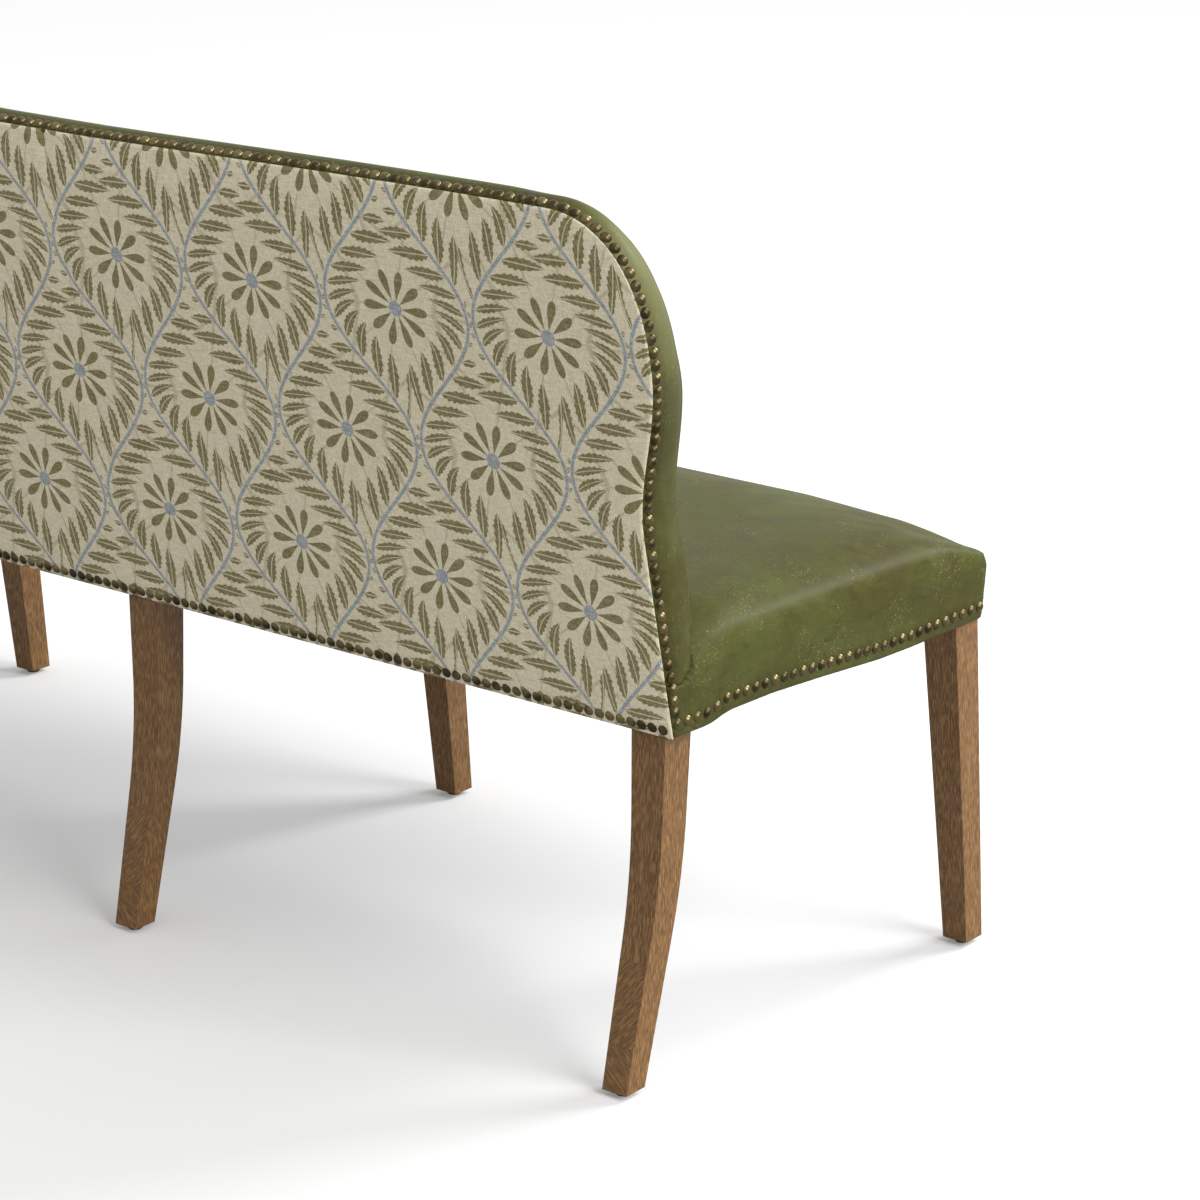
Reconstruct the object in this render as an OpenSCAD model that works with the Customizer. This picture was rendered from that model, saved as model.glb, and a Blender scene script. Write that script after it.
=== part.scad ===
// Six-legged upholstered bench with a raked back, a leather seat and a patterned rear panel.
// Millimetres, +Z up. The origin is on the floor under the middle of the bench.
// The seat faces -Y, the rear panel faces +Y and the length runs along X.

/* [Overall] */
// Width of the back at its widest, between its rear edges
back_width = 1516; // [1400:2:1700]
// Depth from the front feet to the top of the back
bench_depth = 634; // [620:2:680]
// Height of the rear top edge of the back
back_height = 900; // [870:1:940]
// Height of the crown of the seat
seat_height = 489; // [480:1:500]
// Height of the bottom edge of the upholstery
under_z = 370; // [350:1:376]

/* [Seat] */
// Distance that each side of the seat spreads from the rear to the front
seat_spread = 29; // [20:1:50]
// Radius of the front corners in plan
seat_front_radius = 12; // [6:1:14]
// Radius of the rear corners in plan
seat_rear_radius = 3; // [2:0.5:5]
// Height of the soft edge below the crown
seat_crown = 28; // [20:1:34]
// Swell of the seat's sides beyond the frame line
seat_swell = 3; // [1:0.5:4]
// Drop of the crown at the front corners
corner_drop = 12; // [0:1:16]

/* [Back] */
// Lean of the back from upright, in degrees
back_rake = 12.5; // [10:0.5:14]
// Lean that is left at the top edge, in degrees
back_top_rake = 6; // [2:0.5:8]
// Height of the stretch over which the lean eases
back_ease = 116; // [80:2:140]
// Thickness of the back at its side band
band_width = 46; // [42:1:56]
// Thickness of the back at the middle of its cushion
back_thickness = 68; // [62:1:78]
// Swell of the side band between its edges
band_swell = 3; // [1:0.5:4]
// Further swell of the band along the top of the back
top_swell = 4.5; // [1:0.5:6]
// Rise of the top edge from the middle of the back to its corners
corner_rise = 6; // [0:1:10]
// Distance that each side of the back flares out above the seat
side_flare = 38; // [25:1:55]
// Height of the stretch over which the sides flare
flare_height = 185; // [150:5:240]
// Upright distance between the flare and the rounded corner
flare_gap = 10; // [4:1:20]
// Width of the rounded top corners
corner_width = 108; // [90:2:130]
// Height of the rounded top corners
corner_height = 126; // [110:2:130]
// Squareness of the rounded corners, 2 is a plain ellipse
corner_fullness = 2.2; // [2:0.05:2.6]

/* [Legs] */
// Width of a leg at its top
leg_top = 41; // [36:1:46]
// Width of a foot
leg_foot = 30; // [26:1:34]
// Distance that the front feet stand forward of the frame
front_splay = 32; // [15:1:45]
// Slope of the rear feet from upright, in degrees
sweep_angle = 12; // [8:0.5:16]
// Radius of the bend in the rear legs
sweep_radius = 635; // [500:5:700]
// Distance from the upholstery's bottom edge to the start of the bend
sweep_drop = 86; // [40:1:95]
// Distance that the rear end feet stand in from the middle of their tops
rear_toe_in = 6; // [0:0.5:8]
// Distance that the front end feet stand out from the middle of their tops
front_toe_out = 2.5; // [0:0.5:5]
// Diameter of a glide
glide_diameter = 17; // [14:1:20]
// Height of a glide
glide_height = 6; // [3:0.5:7]
// Diameter of the glide's nail
glide_nail = 3; // [2.5:0.5:4]
// Length of the glide's nail
glide_nail_length = 18; // [14:1:24]

/* [Frame] */
// Thickness of the seat rails
rail_thickness = 22; // [18:1:26]
// Height of the seat rails
rail_height = 54; // [50:1:62]
// Rise of the front, side and centre rails above the upholstery's bottom edge
rail_rise = 10; // [8:0.5:12]
// Rise of the rear rails above the upholstery's bottom edge
rear_rail_rise = 3; // [2:0.5:5]
// Depth of the back posts and the back rails
post_depth = 24; // [20:1:26]
// Width of the posts and the rails of the back frame
post_width = 43; // [38:1:50]
// Inset of the back frame from the outline of the back
frame_inset = 15; // [12:0.5:17]
// Length of the corner pieces' arms beside the rounded corners
corner_arm = 20; // [14:1:60]
// Height of the lower back rail
lower_rail_height = 50; // [40:1:60]
// Distance from the seat rail's top to the lower back rail
lower_rail_gap = 36; // [26:1:50]
// Length of a corner block along each rail
block_leg = 72; // [60:1:84]
// Height of a corner block
block_height = 40; // [30:1:50]
// Diameter of the beech dowels
dowel_diameter = 8; // [6:1:10]
// Length of the dowels
dowel_length = 38; // [30:1:44]
// Height between the two dowels of a rail joint
dowel_spacing = 28; // [22:1:34]
// Diameter of the block screws
screw_diameter = 5; // [4:0.5:6]
// Length of the block screws
screw_length = 56; // [50:1:60]
// Depth that the block screws reach into the legs
screw_bite = 24; // [18:1:28]
// Diameter of the screw heads
screw_head = 9.5; // [8:0.5:12]
// Height of the screw heads
screw_head_height = 3; // [2:0.5:4]

/* [Suspension] */
// Width of the webbing straps
strap_width = 50; // [40:1:60]
// Thickness of the webbing straps
strap_thickness = 1.4; // [1:0.1:2]
// Straps from front to rear in each half of the seat
cross_straps = 6; // [4:1:7]
// Straps along the seat
long_straps = 4; // [3:1:5]
// Upright straps in each half of the back
upright_straps = 5; // [3:1:6]
// Thickness of the hessian
hessian_thickness = 0.8; // [0.5:0.1:1.2]

/* [Covers] */
// Thickness of the leather
leather = 1.6; // [1.2:0.1:2]
// Thickness of the rear panel's fabric
fabric = 1.2; // [0.8:0.1:1.4]
// Distance that the covers stand proud of the legs
cover_stand = 5; // [4:0.5:7]
// Distance that the leather stands proud of the front legs at the sides
side_stand = 3; // [3:0.5:5]
// Width of the leather that is turned onto the rear of the frame
leather_turn = 18; // [12:1:24]
// Thickness of the black dust cover
dust_thickness = 0.8; // [0.5:0.1:1.2]
// Clearance between neighbouring soft pieces
soft_gap = 0.3; // [0.2:0.05:0.5]

/* [Nails] */
// Diameter of the domed nail heads
nail_diameter = 11; // [9:0.5:12]
// Height of the nail heads
nail_rise = 3.4; // [2.5:0.1:4]
// Pitch of the nails along the edge of the back
edge_pitch = 12.6; // [12:0.1:16]
// Pitch of the nails along the bottom of the rear panel
rear_pitch = 13; // [12:0.1:16]
// Pitch of the nails along the sides and the front
side_pitch = 14.4; // [12:0.1:18]
// Height of the rear nail row above the upholstery's bottom edge
nail_row = 11; // [9:0.5:14]
// Distance of the edge nails from the rear surface
edge_setback = 7; // [6.5:0.5:11]

/* [Hidden] */
$fa = 4;
$fs = 0.8;
EPS = 0.01;

WOOD = "#8b6a49";
BEECH = "#c9a97a";
LEATHER = "#6c7040";
LINEN = "#c2baa0";
BRASS = "#6b5334";
FOAM = "#e8e2c8";
BLACK = "#2b2926";
STEEL = "#9a9a9c";

// Lean of the rear surface: straight, then an arc that ends at the top edge
ease_z = back_height - back_ease;
ease_radius = back_ease / (sin(back_rake) - sin(back_top_rake));
function ease_angle(z) = asin(sin(back_rake) - (z - ease_z) / ease_radius);
function lean(z) = z <= ease_z
    ? (z - under_z) * tan(back_rake)
    : (ease_z - under_z) * tan(back_rake)
      + ease_radius * (cos(ease_angle(min(z, back_height + 20))) - cos(back_rake));
base_y = bench_depth / 2 - lean(back_height);
function rear_y(z) = base_y + lean(z);

// Seat in plan
frame_front = bench_depth / 2 - front_splay;
seat_front_y = -(frame_front + cover_stand);
seat_rear_y = base_y;
seat_cy = (seat_front_y + seat_rear_y) / 2;
seat_hy = (seat_rear_y - seat_front_y) / 2;
rear_half = back_width / 2 - side_flare;
seat_hx = rear_half + seat_spread;
function seat_half(y) = seat_hx
    + (rear_half - seat_hx) * (y - seat_front_y) / (seat_rear_y - seat_front_y);
side_angle = atan2(seat_hx - rear_half, seat_rear_y - seat_front_y);
// The bottom edge of the seat's cover, by its share of the way from the rear to the front
HEM = [[0, 4], [0.11, 4], [0.15, 12], [0.3, 12], [0.45, 9], [0.64, 4], [0.75, 4], [1, 7]];
HEM_TO_NAIL = 14;
function side_share(y) = (seat_rear_y - y) / (seat_rear_y - seat_front_y);
function side_nail_z(y) = under_z + HEM_TO_NAIL + lookup(side_share(y), HEM);

// Levels of the seat
rail_bottom = under_z + rail_rise;
rear_rail_bottom = under_z + rear_rail_rise;
rail_top = rail_bottom + rail_height;
hessian_z = rail_top + 2 * strap_thickness;
pad_z = hessian_z + hessian_thickness;
cushion_bottom = pad_z + band_swell + 2 * soft_gap;

// Faces of the legs
leg_rear_y = base_y - cover_stand;
leg_front_y = leg_rear_y - leg_top;
rear_leg_x = rear_half * (1 - frame_inset / (back_width / 2));
front_leg_x = seat_half(-frame_front + leg_top) - side_stand;
front_leg_rear = -frame_front + leg_top;
rail_slope = (front_leg_x - rear_leg_x) / (leg_front_y - front_leg_rear);
rail_angle = atan(rail_slope);
function frame_side(y) = rear_leg_x
    + rail_slope * (leg_front_y - min(leg_front_y, max(front_leg_rear, y)));

// Layers of the back, measured forward from the rear surface
turn_t = fabric + 0.2;
post_t = cover_stand + 1;
strap_t = post_t + post_depth;
hessian_t = strap_t + 2 * strap_thickness;
pad_t = hessian_t + hessian_thickness + soft_gap;

// Outline of the back
back_hx = back_width / 2;
flare_end = back_height - corner_height - flare_gap;
flare_start = flare_end - flare_height;
top_rail_half = back_hx - corner_width - corner_arm;
back_cz = (cushion_bottom + back_height) / 2;
back_hz = (back_height - cushion_bottom) / 2;
function ease(t) = 0.5 - 0.5 * cos(180 * min(1, max(0, t)));
function back_half(z) = rear_half
    + (back_hx - rear_half) * ease((z - flare_start) / (flare_end - flare_start));
FLARE_STEPS = 6;
CORNER_STEPS = 8;
// Share of the way from the middle to the corner, and share of the rise
TOP_SHAPE = [[0.86, 1], [0.6, 0.8], [0.35, 0.4], [0.1, 0]];
function corner_point(a) = [
    back_hx - corner_width + corner_width * pow(cos(a), 2 / corner_fullness),
    back_height - corner_height + corner_height * pow(sin(a), 2 / corner_fullness)
];
function right_side(bottom) = concat(
    [[rear_half, bottom]],
    [for (i = [0:FLARE_STEPS])
        let (z = flare_start + (flare_end - flare_start) * i / FLARE_STEPS) [back_half(z), z]],
    [for (i = [0:CORNER_STEPS]) corner_point(90 * i / CORNER_STEPS)],
    [for (q = TOP_SHAPE) [(back_hx - corner_width) * q[0], back_height - corner_rise * (1 - q[1])]]
);
function mirrored(p) = [for (i = [len(p) - 1:-1:0]) [-p[i].x, p[i].y]];
function back_outline(bottom) = concat(right_side(bottom), mirrored(right_side(bottom)));
// The outline drawn in by a distance at its sides and top, with its bottom left in place
function drawn_in(p, d) = [for (q = p)
    [q.x * (1 - d / back_hx), q.y > back_cz ? back_cz + (q.y - back_cz) * (1 - d / back_hz) : q.y]];

// Shapes of the back
BAND_STEPS = 10;
module rear_band(near, far, bottom, top = back_height + 8) {
    zs = concat([bottom, min(top, ease_z)],
        [for (i = [1:BAND_STEPS]) if (top > ease_z) ease_z + (top - ease_z) * i / BAND_STEPS]);
    behind = [for (z = zs) [rear_y(z) - near, z]];
    ahead = [for (i = [len(zs) - 1:-1:0]) [rear_y(zs[i]) - far, zs[i]]];
    translate([-back_width, 0, 0])
        rotate([90, 0, 90])
            linear_extrude(2 * back_width)
                polygon(concat(behind, ahead));
}

module facing(points) {
    translate([0, bench_depth, 0])
        rotate([90, 0, 0])
            linear_extrude(2 * bench_depth)
                polygon(points);
}

module frame_ring() {
    difference() {
        facing(drawn_in(back_outline(rail_top - 20), frame_inset));
        facing(drawn_in(back_outline(0), frame_inset + post_width));
    }
}

module between(x0, x1, z0, z1) {
    translate([x0, -bench_depth, z0])
        cube([x1 - x0, 2 * bench_depth, z1 - z0]);
}

// Closed skins built ring by ring
function unit(v) = v / norm(v);
function inner_profile(p, w) = [for (i = [0:len(p) - 1])
    let (t = unit(p[min(len(p) - 1, i + 1)] - p[max(0, i - 1)])) p[i] + w * [t.y, -t.x]];
function flat(rings) = [for (r = rings) for (p = r) p];
function wall(n, a, b) = [for (i = [0:n - 1])
    let (j = (i + 1) % n) each [[a + i, b + i, b + j], [a + i, b + j, a + j]]];
function fan(n, a, tip) = [for (i = [0:n - 1]) [a + i, tip, a + (i + 1) % n]];
function turned(faces) = [for (f = faces) [f[0], f[2], f[1]]];
function centre(ring) = [for (k = [0:2]) (min([for (p = ring) p[k]]) + max([for (p = ring) p[k]])) / 2];

module solid_skin(rings) {
    n = len(rings[0]);
    last = len(rings) - 1;
    count = n * len(rings);
    polyhedron(
        concat(flat(rings), [centre(rings[0]), centre(rings[last])]),
        concat(
            turned(fan(n, 0, count)),
            [for (k = [0:last - 1]) each wall(n, k * n, (k + 1) * n)],
            fan(n, last * n, count + 1)
        )
    );
}

module hollow_skin(outer, inner) {
    n = len(outer[0]);
    last = len(outer) - 1;
    count = n * len(outer);
    polyhedron(
        concat(flat(outer), flat(inner), [centre(outer[last]), centre(inner[last])]),
        concat(
            [for (k = [0:last - 1]) each wall(n, k * n, (k + 1) * n)],
            fan(n, last * n, 2 * count),
            turned([for (k = [0:last - 1]) each wall(n, count + k * n, count + (k + 1) * n)]),
            turned(fan(n, count + last * n, 2 * count + 1)),
            wall(n, count, 0)
        )
    );
}

// Seat cushion: an outline in plan, drawn in ring by ring while it rises
function arc(cx, cy, r, start, steps) = [for (i = [0:steps])
    let (a = start + 90 * i / steps) [cx + r * cos(a), cy + r * sin(a)]];
SOFT_ENDS = [80, 230];
seat_outline = concat(
    arc(seat_hx - seat_rear_radius, seat_rear_y - seat_rear_radius, seat_rear_radius, 0, 2),
    arc(-seat_hx + seat_rear_radius, seat_rear_y - seat_rear_radius, seat_rear_radius, 90, 2),
    [for (i = [1, 0]) [-seat_hx, seat_front_y + SOFT_ENDS[i]]],
    arc(-seat_hx + seat_front_radius, seat_front_y + seat_front_radius, seat_front_radius, 180, 5),
    [for (i = [0, 1]) [-seat_hx + SOFT_ENDS[i], seat_front_y]],
    [for (i = [1, 0]) [seat_hx - SOFT_ENDS[i], seat_front_y]],
    arc(seat_hx - seat_front_radius, seat_front_y + seat_front_radius, seat_front_radius, 270, 5),
    [for (i = [0, 1]) [seat_hx, seat_front_y + SOFT_ENDS[i]]]
);
function near_corner(p, d) =
    pow(max(0, 1 - (seat_hx - abs(p.x)) / SOFT_ENDS[0]), 2)
    * pow(max(0, 1 - (p.y - seat_front_y) / SOFT_ENDS[0]), 2)
    * max(0, 1 - d / SOFT_ENDS[0]);
function seat_point(p, d, z) = let (
    swell = seat_bulge(z),
    y = seat_cy + (p.y - seat_cy) * (1 - (p.y > seat_cy ? d : d - swell) / seat_hy),
    x = p.x / seat_hx * seat_half(p.y) * (1 - (d - swell) / seat_hx),
    rear = max(0, y - seat_cy) / seat_hy,
    soft = near_corner(p, d) * max(0, z - cushion_bottom) / (seat_height - cushion_bottom)
) [x, y + rear * (rear_y(min(z, cushion_bottom)) - seat_rear_y - turn_t), z - 2 * corner_drop * soft];
edge_z = seat_height - seat_crown;
// The swell grows from the bottom edge to the rails' top and dies out at the soft edge
function seat_bulge(z) = seat_swell
    * max(0, min((z - under_z) / (rail_top - under_z), (edge_z - z) / (edge_z - rail_top)));
EDGE_EASE = 12;
// Distance from the edge, and share of the crown's height
SEAT_SHAPE = [[4, 0], [13, 0.36], [27, 0.61], [50, 0.79], [90, 0.91], [150, 0.97], [225, 1]];
seat_profile = concat(
    [for (z = [under_z, (under_z + rail_top) / 2, rail_top, edge_z - EDGE_EASE]) [0, z]],
    [for (q = SEAT_SHAPE) [q[0], edge_z + seat_crown * q[1]]]
);
function seat_rings(profile) = [for (q = profile) [for (p = seat_outline) seat_point(p, q[0], q[1])]];

// Space of the seat frame inside the covers
module seat_frame_space() {
    gap = 2 * soft_gap;
    front = -frame_front - soft_gap;
    rear = bench_depth;
    intersection() {
        translate([0, 0, under_z - 1])
            linear_extrude(pad_z - under_z + 1)
                polygon([
                    [front_leg_x + gap, front], [front_leg_x + gap, front_leg_rear],
                    [rear_leg_x + gap, leg_front_y], [rear_leg_x + gap, rear],
                    [-rear_leg_x - gap, rear], [-rear_leg_x - gap, leg_front_y],
                    [-front_leg_x - gap, front_leg_rear], [-front_leg_x - gap, front]
                ]);
        rear_band(post_t - soft_gap, bench_depth, under_z - 1, pad_z);
    }
}

// Opening between the flaps of leather that are turned round the rear corners
turn_x = rear_half * (1 - leather_turn / back_hx);
module rear_opening() {
    intersection() {
        rear_band(-leather_turn, leg_top, under_z - 1, pad_z);
        between(-turn_x, turn_x, under_z - 1, pad_z);
    }
}

// Space of the back cushion, which the seat cushion stops at
module back_space() {
    rear_band(-bench_depth / 4, band_width, pad_z - soft_gap, seat_height + 60);
    solid_skin(back_rings(inner_profile(back_profile, -soft_gap)));
}

module seat_foam() {
    color(FOAM)
        difference() {
            solid_skin(seat_rings(inner_profile(seat_profile, leather)));
            seat_frame_space();
            rear_opening();
            back_space();
            lining_space(soft_gap);
        }
}

module seat_cover() {
    color(LEATHER)
        difference() {
            hollow_skin(seat_rings(seat_profile), seat_rings(inner_profile(seat_profile, leather)));
            rear_opening();
            back_space();
        }
}

// Back cushion: the same way, from the rear edge forward
EDGE_START = 0.6;
edge_end = turn_t + 3;
// Distance from the edge, and share of the cushion's rise over its band
BACK_SHAPE = [[5, 0.3], [15, 0.57], [36, 0.78], [74, 0.92], [130, 0.98], [200, 1]];
back_profile = concat(
    [
        [leather_turn, turn_t],
        [2.5 * EDGE_START, turn_t],
        [-EDGE_START, edge_end],
        [-band_swell * 0.8, band_width * 0.3],
        [-band_swell, band_width * 0.5],
        [-band_swell * 0.4, band_width * 0.8],
        [band_swell, band_width]
    ],
    [for (q = BACK_SHAPE) [q[0], band_width + (back_thickness - band_width) * q[1]]]
);
// The back is thickest a little above the seat: share of the height, and share of the thickness
TAPER = [[0, 1.08], [0.22, 1.2], [0.45, 1.1], [0.66, 0.97], [0.85, 0.88], [1, 0.87]];
function taper(z) = lookup((z - cushion_bottom) / (back_height - cushion_bottom), TAPER);
function tapered(t, z) = turn_t + (t - turn_t) * taper(z);
function top_bulge(t) = top_swell * sin(180 * min(1, max(0, (t - turn_t) / (band_width - turn_t))));
function back_point(p, d, t) = let (
    share = max(0, p.y - back_cz) / back_hz,
    z = back_cz + (p.y - back_cz) * (1 - d / back_hz) + top_bulge(t) * share * share
) [p.x * (1 - d / back_hx), rear_y(z) - tapered(t, z), z];
function back_rings(profile) = [for (q = profile)
    [for (p = back_outline(cushion_bottom)) back_point(p, q[0], q[1])]];

module back_frame_space() {
    intersection() {
        rear_band(post_t - soft_gap, pad_t, rail_top - 30);
        facing(drawn_in(back_outline(rail_top - 30), frame_inset - soft_gap));
    }
}

module back_foam() {
    color(FOAM)
        difference() {
            solid_skin(back_rings(inner_profile(back_profile, leather)));
            back_frame_space();
            lining_space(soft_gap);
        }
}

module back_cover() {
    color(LEATHER)
        difference() {
            hollow_skin(back_rings(back_profile), back_rings(inner_profile(back_profile, leather)));
            back_frame_space();
            lining_space(soft_gap);
        }
}

// Rear panel and what lies under it
module lining_space(gap) {
    intersection() {
        rear_band(turn_t - gap, post_t - soft_gap / 3, rear_rail_bottom);
        facing(drawn_in(back_outline(rear_rail_bottom), leather_turn + soft_gap - gap));
    }
}

module rear_lining() {
    color(FOAM)
        lining_space(0);
}

PANEL_EDGE = 0.8;
module rear_panel(x0, x1) {
    color(LINEN)
        intersection() {
            rear_band(0, fabric, rear_rail_bottom);
            facing(drawn_in(back_outline(rear_rail_bottom), PANEL_EDGE));
            between(x0, x1, 0, back_height + 20);
        }
}

module rear_panel_left() {
    rear_panel(-back_width, -soft_gap / 2);
}

module rear_panel_right() {
    rear_panel(soft_gap / 2, back_width);
}

// Legs
function leg_depth(z) = leg_foot
    + (leg_top - leg_foot) * min(1, (z - glide_height) / (under_z - glide_height));
bend_z = under_z - sweep_drop;
bend_end = bend_z - sweep_radius * sin(sweep_angle);
function swept(z) = z >= bend_z ? 0
    : z >= bend_end ? sweep_radius * (1 - cos(asin((bend_z - z) / sweep_radius)))
    : sweep_radius * (1 - cos(sweep_angle)) + (bend_end - z) * tan(sweep_angle);
LEG_STEPS = 8;

module rear_leg_profile() {
    bend = [for (i = [0:LEG_STEPS]) bend_end + (bend_z - bend_end) * i / LEG_STEPS];
    zs = concat([glide_height], bend, [under_z]);
    rear = [for (z = zs) [leg_rear_y + swept(z), z]];
    front = [for (i = [len(zs) - 1:-1:0]) [leg_rear_y + swept(zs[i]) - leg_depth(zs[i]), zs[i]]];
    head = concat(
        [for (z = [under_z, rail_top]) [rear_y(z) - post_t, z]],
        [[leg_front_y, rail_top]]
    );
    translate([-back_width, 0, 0])
        rotate([90, 0, 90])
            linear_extrude(2 * back_width)
                polygon(concat(rear, head, front));
}

module front_leg_profile() {
    translate([-back_width, 0, 0])
        rotate([90, 0, 90])
            linear_extrude(2 * back_width)
                polygon([
                    [-frame_front, rail_top], [-frame_front, under_z],
                    [-bench_depth / 2, glide_height], [-bench_depth / 2 + leg_foot, glide_height],
                    [front_leg_rear, under_z], [front_leg_rear, rail_top]
                ]);
}

// Front view of a leg: straight in the frame and tapered below it
module leg_taper(middle, foot) {
    h = leg_top / 2;
    f = leg_foot / 2;
    facing([
        [middle - h, rail_top], [middle - h, under_z], [foot - f, glide_height],
        [foot + f, glide_height], [middle + h, under_z], [middle + h, rail_top]
    ]);
}

end_rear_x = rear_leg_x - leg_top / 2;
end_front_x = front_leg_x - leg_top / 2;
rear_foot_y = leg_rear_y + swept(glide_height) - leg_foot / 2;
front_foot_y = -bench_depth / 2 + leg_foot / 2;
rear_foot_x = end_rear_x - rear_toe_in;
front_foot_x = end_front_x + front_toe_out;
FEET = [
    [-rear_foot_x, rear_foot_y], [0, rear_foot_y], [rear_foot_x, rear_foot_y],
    [-front_foot_x, front_foot_y], [0, front_foot_y], [front_foot_x, front_foot_y]
];

module end_post() {
    intersection() {
        rear_band(post_t, post_t + post_depth, rail_top - EPS);
        frame_ring();
        between(0, back_width, 0, flare_end);
    }
}

module centre_post() {
    top = back_cz
        + (back_height - corner_rise - back_cz) * (1 - (frame_inset + post_width) / back_hz);
    intersection() {
        rear_band(post_t, post_t + post_depth, rail_top - EPS);
        between(-leg_top / 2, leg_top / 2, 0, top);
    }
}

module lower_rear_leg(middle, foot) {
    intersection() {
        rear_leg_profile();
        leg_taper(middle, foot);
    }
}

module bored() {
    difference() {
        children();
        dowels(soft_gap / 3);
        back_pins(soft_gap / 3);
        screws(soft_gap / 3);
        glide_nails(soft_gap / 3);
    }
}

module rear_end_leg() {
    color(WOOD)
        bored()
            union() {
                lower_rear_leg(end_rear_x, rear_foot_x);
                end_post();
            }
}

module rear_leg_left() {
    mirror([1, 0, 0]) rear_end_leg();
}

module rear_leg_right() {
    rear_end_leg();
}

module rear_leg_centre() {
    color(WOOD)
        bored()
            union() {
                lower_rear_leg(0, 0);
                centre_post();
            }
}

module front_leg(middle, foot) {
    color(WOOD)
        bored()
            intersection() {
                front_leg_profile();
                leg_taper(middle, foot);
            }
}

module front_leg_left() {
    front_leg(-end_front_x, -front_foot_x);
}

module front_leg_centre() {
    front_leg(0, 0);
}

module front_leg_right() {
    front_leg(end_front_x, front_foot_x);
}

module glide_nails(gap = 0) {
    for (p = FEET)
        translate([p.x, p.y, glide_height - EPS])
            cylinder(d = glide_nail + 2 * gap, h = glide_nail_length + gap);
}

GLIDE_ROUND = 1.5;
module glides() {
    color(BLACK)
        for (p = FEET)
            translate([p.x, p.y, 0])
                rotate_extrude()
                    polygon([
                        [0, 0], [glide_diameter / 2 - GLIDE_ROUND, 0], [glide_diameter / 2, GLIDE_ROUND],
                        [glide_diameter / 2, glide_height], [glide_nail / 2, glide_height],
                        [glide_nail / 2, glide_height + glide_nail_length - 2],
                        [0, glide_height + glide_nail_length]
                    ]);
}

// Seat rails
long_start = leg_top / 2;
front_rail_end = end_front_x - leg_top / 2;
rear_rail_end = end_rear_x - leg_top / 2;
rear_rail_y = rear_y(under_z) - post_t - rail_thickness;

module straight_rail(x0, x1, y0, bottom) {
    color(BEECH)
        bored()
            translate([x0, y0, bottom])
                cube([x1 - x0, rail_thickness, rail_top - bottom]);
}

module front_rail_left() {
    straight_rail(-front_rail_end, -long_start, -frame_front, rail_bottom);
}

module front_rail_right() {
    straight_rail(long_start, front_rail_end, -frame_front, rail_bottom);
}

module rear_rail_left() {
    straight_rail(-rear_rail_end, -long_start, rear_rail_y, rear_rail_bottom);
}

module rear_rail_right() {
    straight_rail(long_start, rear_rail_end, rear_rail_y, rear_rail_bottom);
}

function rail_outer(y) = frame_side(y) - 1;
module side_rail_right() {
    color(BEECH)
        bored()
            translate([0, 0, rail_bottom])
                linear_extrude(rail_height)
                    polygon([
                        [rail_outer(leg_front_y), leg_front_y],
                        [rail_outer(leg_front_y) - rail_thickness, leg_front_y],
                        [rail_outer(front_leg_rear) - rail_thickness, front_leg_rear],
                        [rail_outer(front_leg_rear), front_leg_rear]
                    ]);
}

module side_rail_left() {
    mirror([1, 0, 0]) side_rail_right();
}

module centre_rail() {
    color(BEECH)
        bored()
            translate([-rail_thickness / 2, front_leg_rear, rail_bottom])
                cube([rail_thickness, leg_front_y - front_leg_rear, rail_height]);
}

// Dowels, two at each joint of a seat rail
module dowel_pair(at, heading, gap) {
    for (side = [-1, 1])
        translate([at.x, at.y, rail_bottom + rail_height / 2 + side * dowel_spacing / 2])
            rotate([0, 90, heading])
                cylinder(d = dowel_diameter + 2 * gap, h = dowel_length + 2 * gap, center = true);
}

module dowels(gap = 0) {
    front_mid = -frame_front + rail_thickness / 2;
    rear_mid = rear_rail_y + rail_thickness / 2;
    for (side = [-1, 1]) {
        dowel_pair([side * long_start, front_mid], 0, gap);
        dowel_pair([side * front_rail_end, front_mid], 0, gap);
        dowel_pair([side * long_start, rear_mid], 0, gap);
        dowel_pair([side * rear_rail_end, rear_mid], 0, gap);
        for (y = [leg_front_y, front_leg_rear])
            dowel_pair([side * (rail_outer(y) - rail_thickness / 2), y], 90 + side * rail_angle, gap);
    }
    for (y = [leg_front_y, front_leg_rear])
        dowel_pair([0, y], 90, gap);
}

module rail_dowels() {
    color(BEECH) dowels();
}

// Corner blocks: each fills the angle between two rails and the leg
block_z = rail_bottom + (rail_height - block_height) / 2;
module end_block(front) {
    s = front ? 1 : -1;
    leg_y = front ? front_leg_rear : leg_front_y;
    leg_x = front ? front_rail_end : rear_rail_end;
    rail_y = front ? -frame_front + rail_thickness : rear_rail_y;
    far_y = leg_y + s * (block_leg - leg_top + rail_thickness);
    translate([0, 0, block_z])
        linear_extrude(block_height)
            polygon([
                [leg_x - block_leg, rail_y], [leg_x, rail_y], [leg_x, leg_y],
                [rail_outer(leg_y) - rail_thickness, leg_y],
                [rail_outer(far_y) - rail_thickness, far_y],
                [rail_outer(far_y) - rail_thickness - block_leg / 5, far_y],
                [leg_x - block_leg, rail_y + s * block_leg / 5]
            ]);
}

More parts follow.
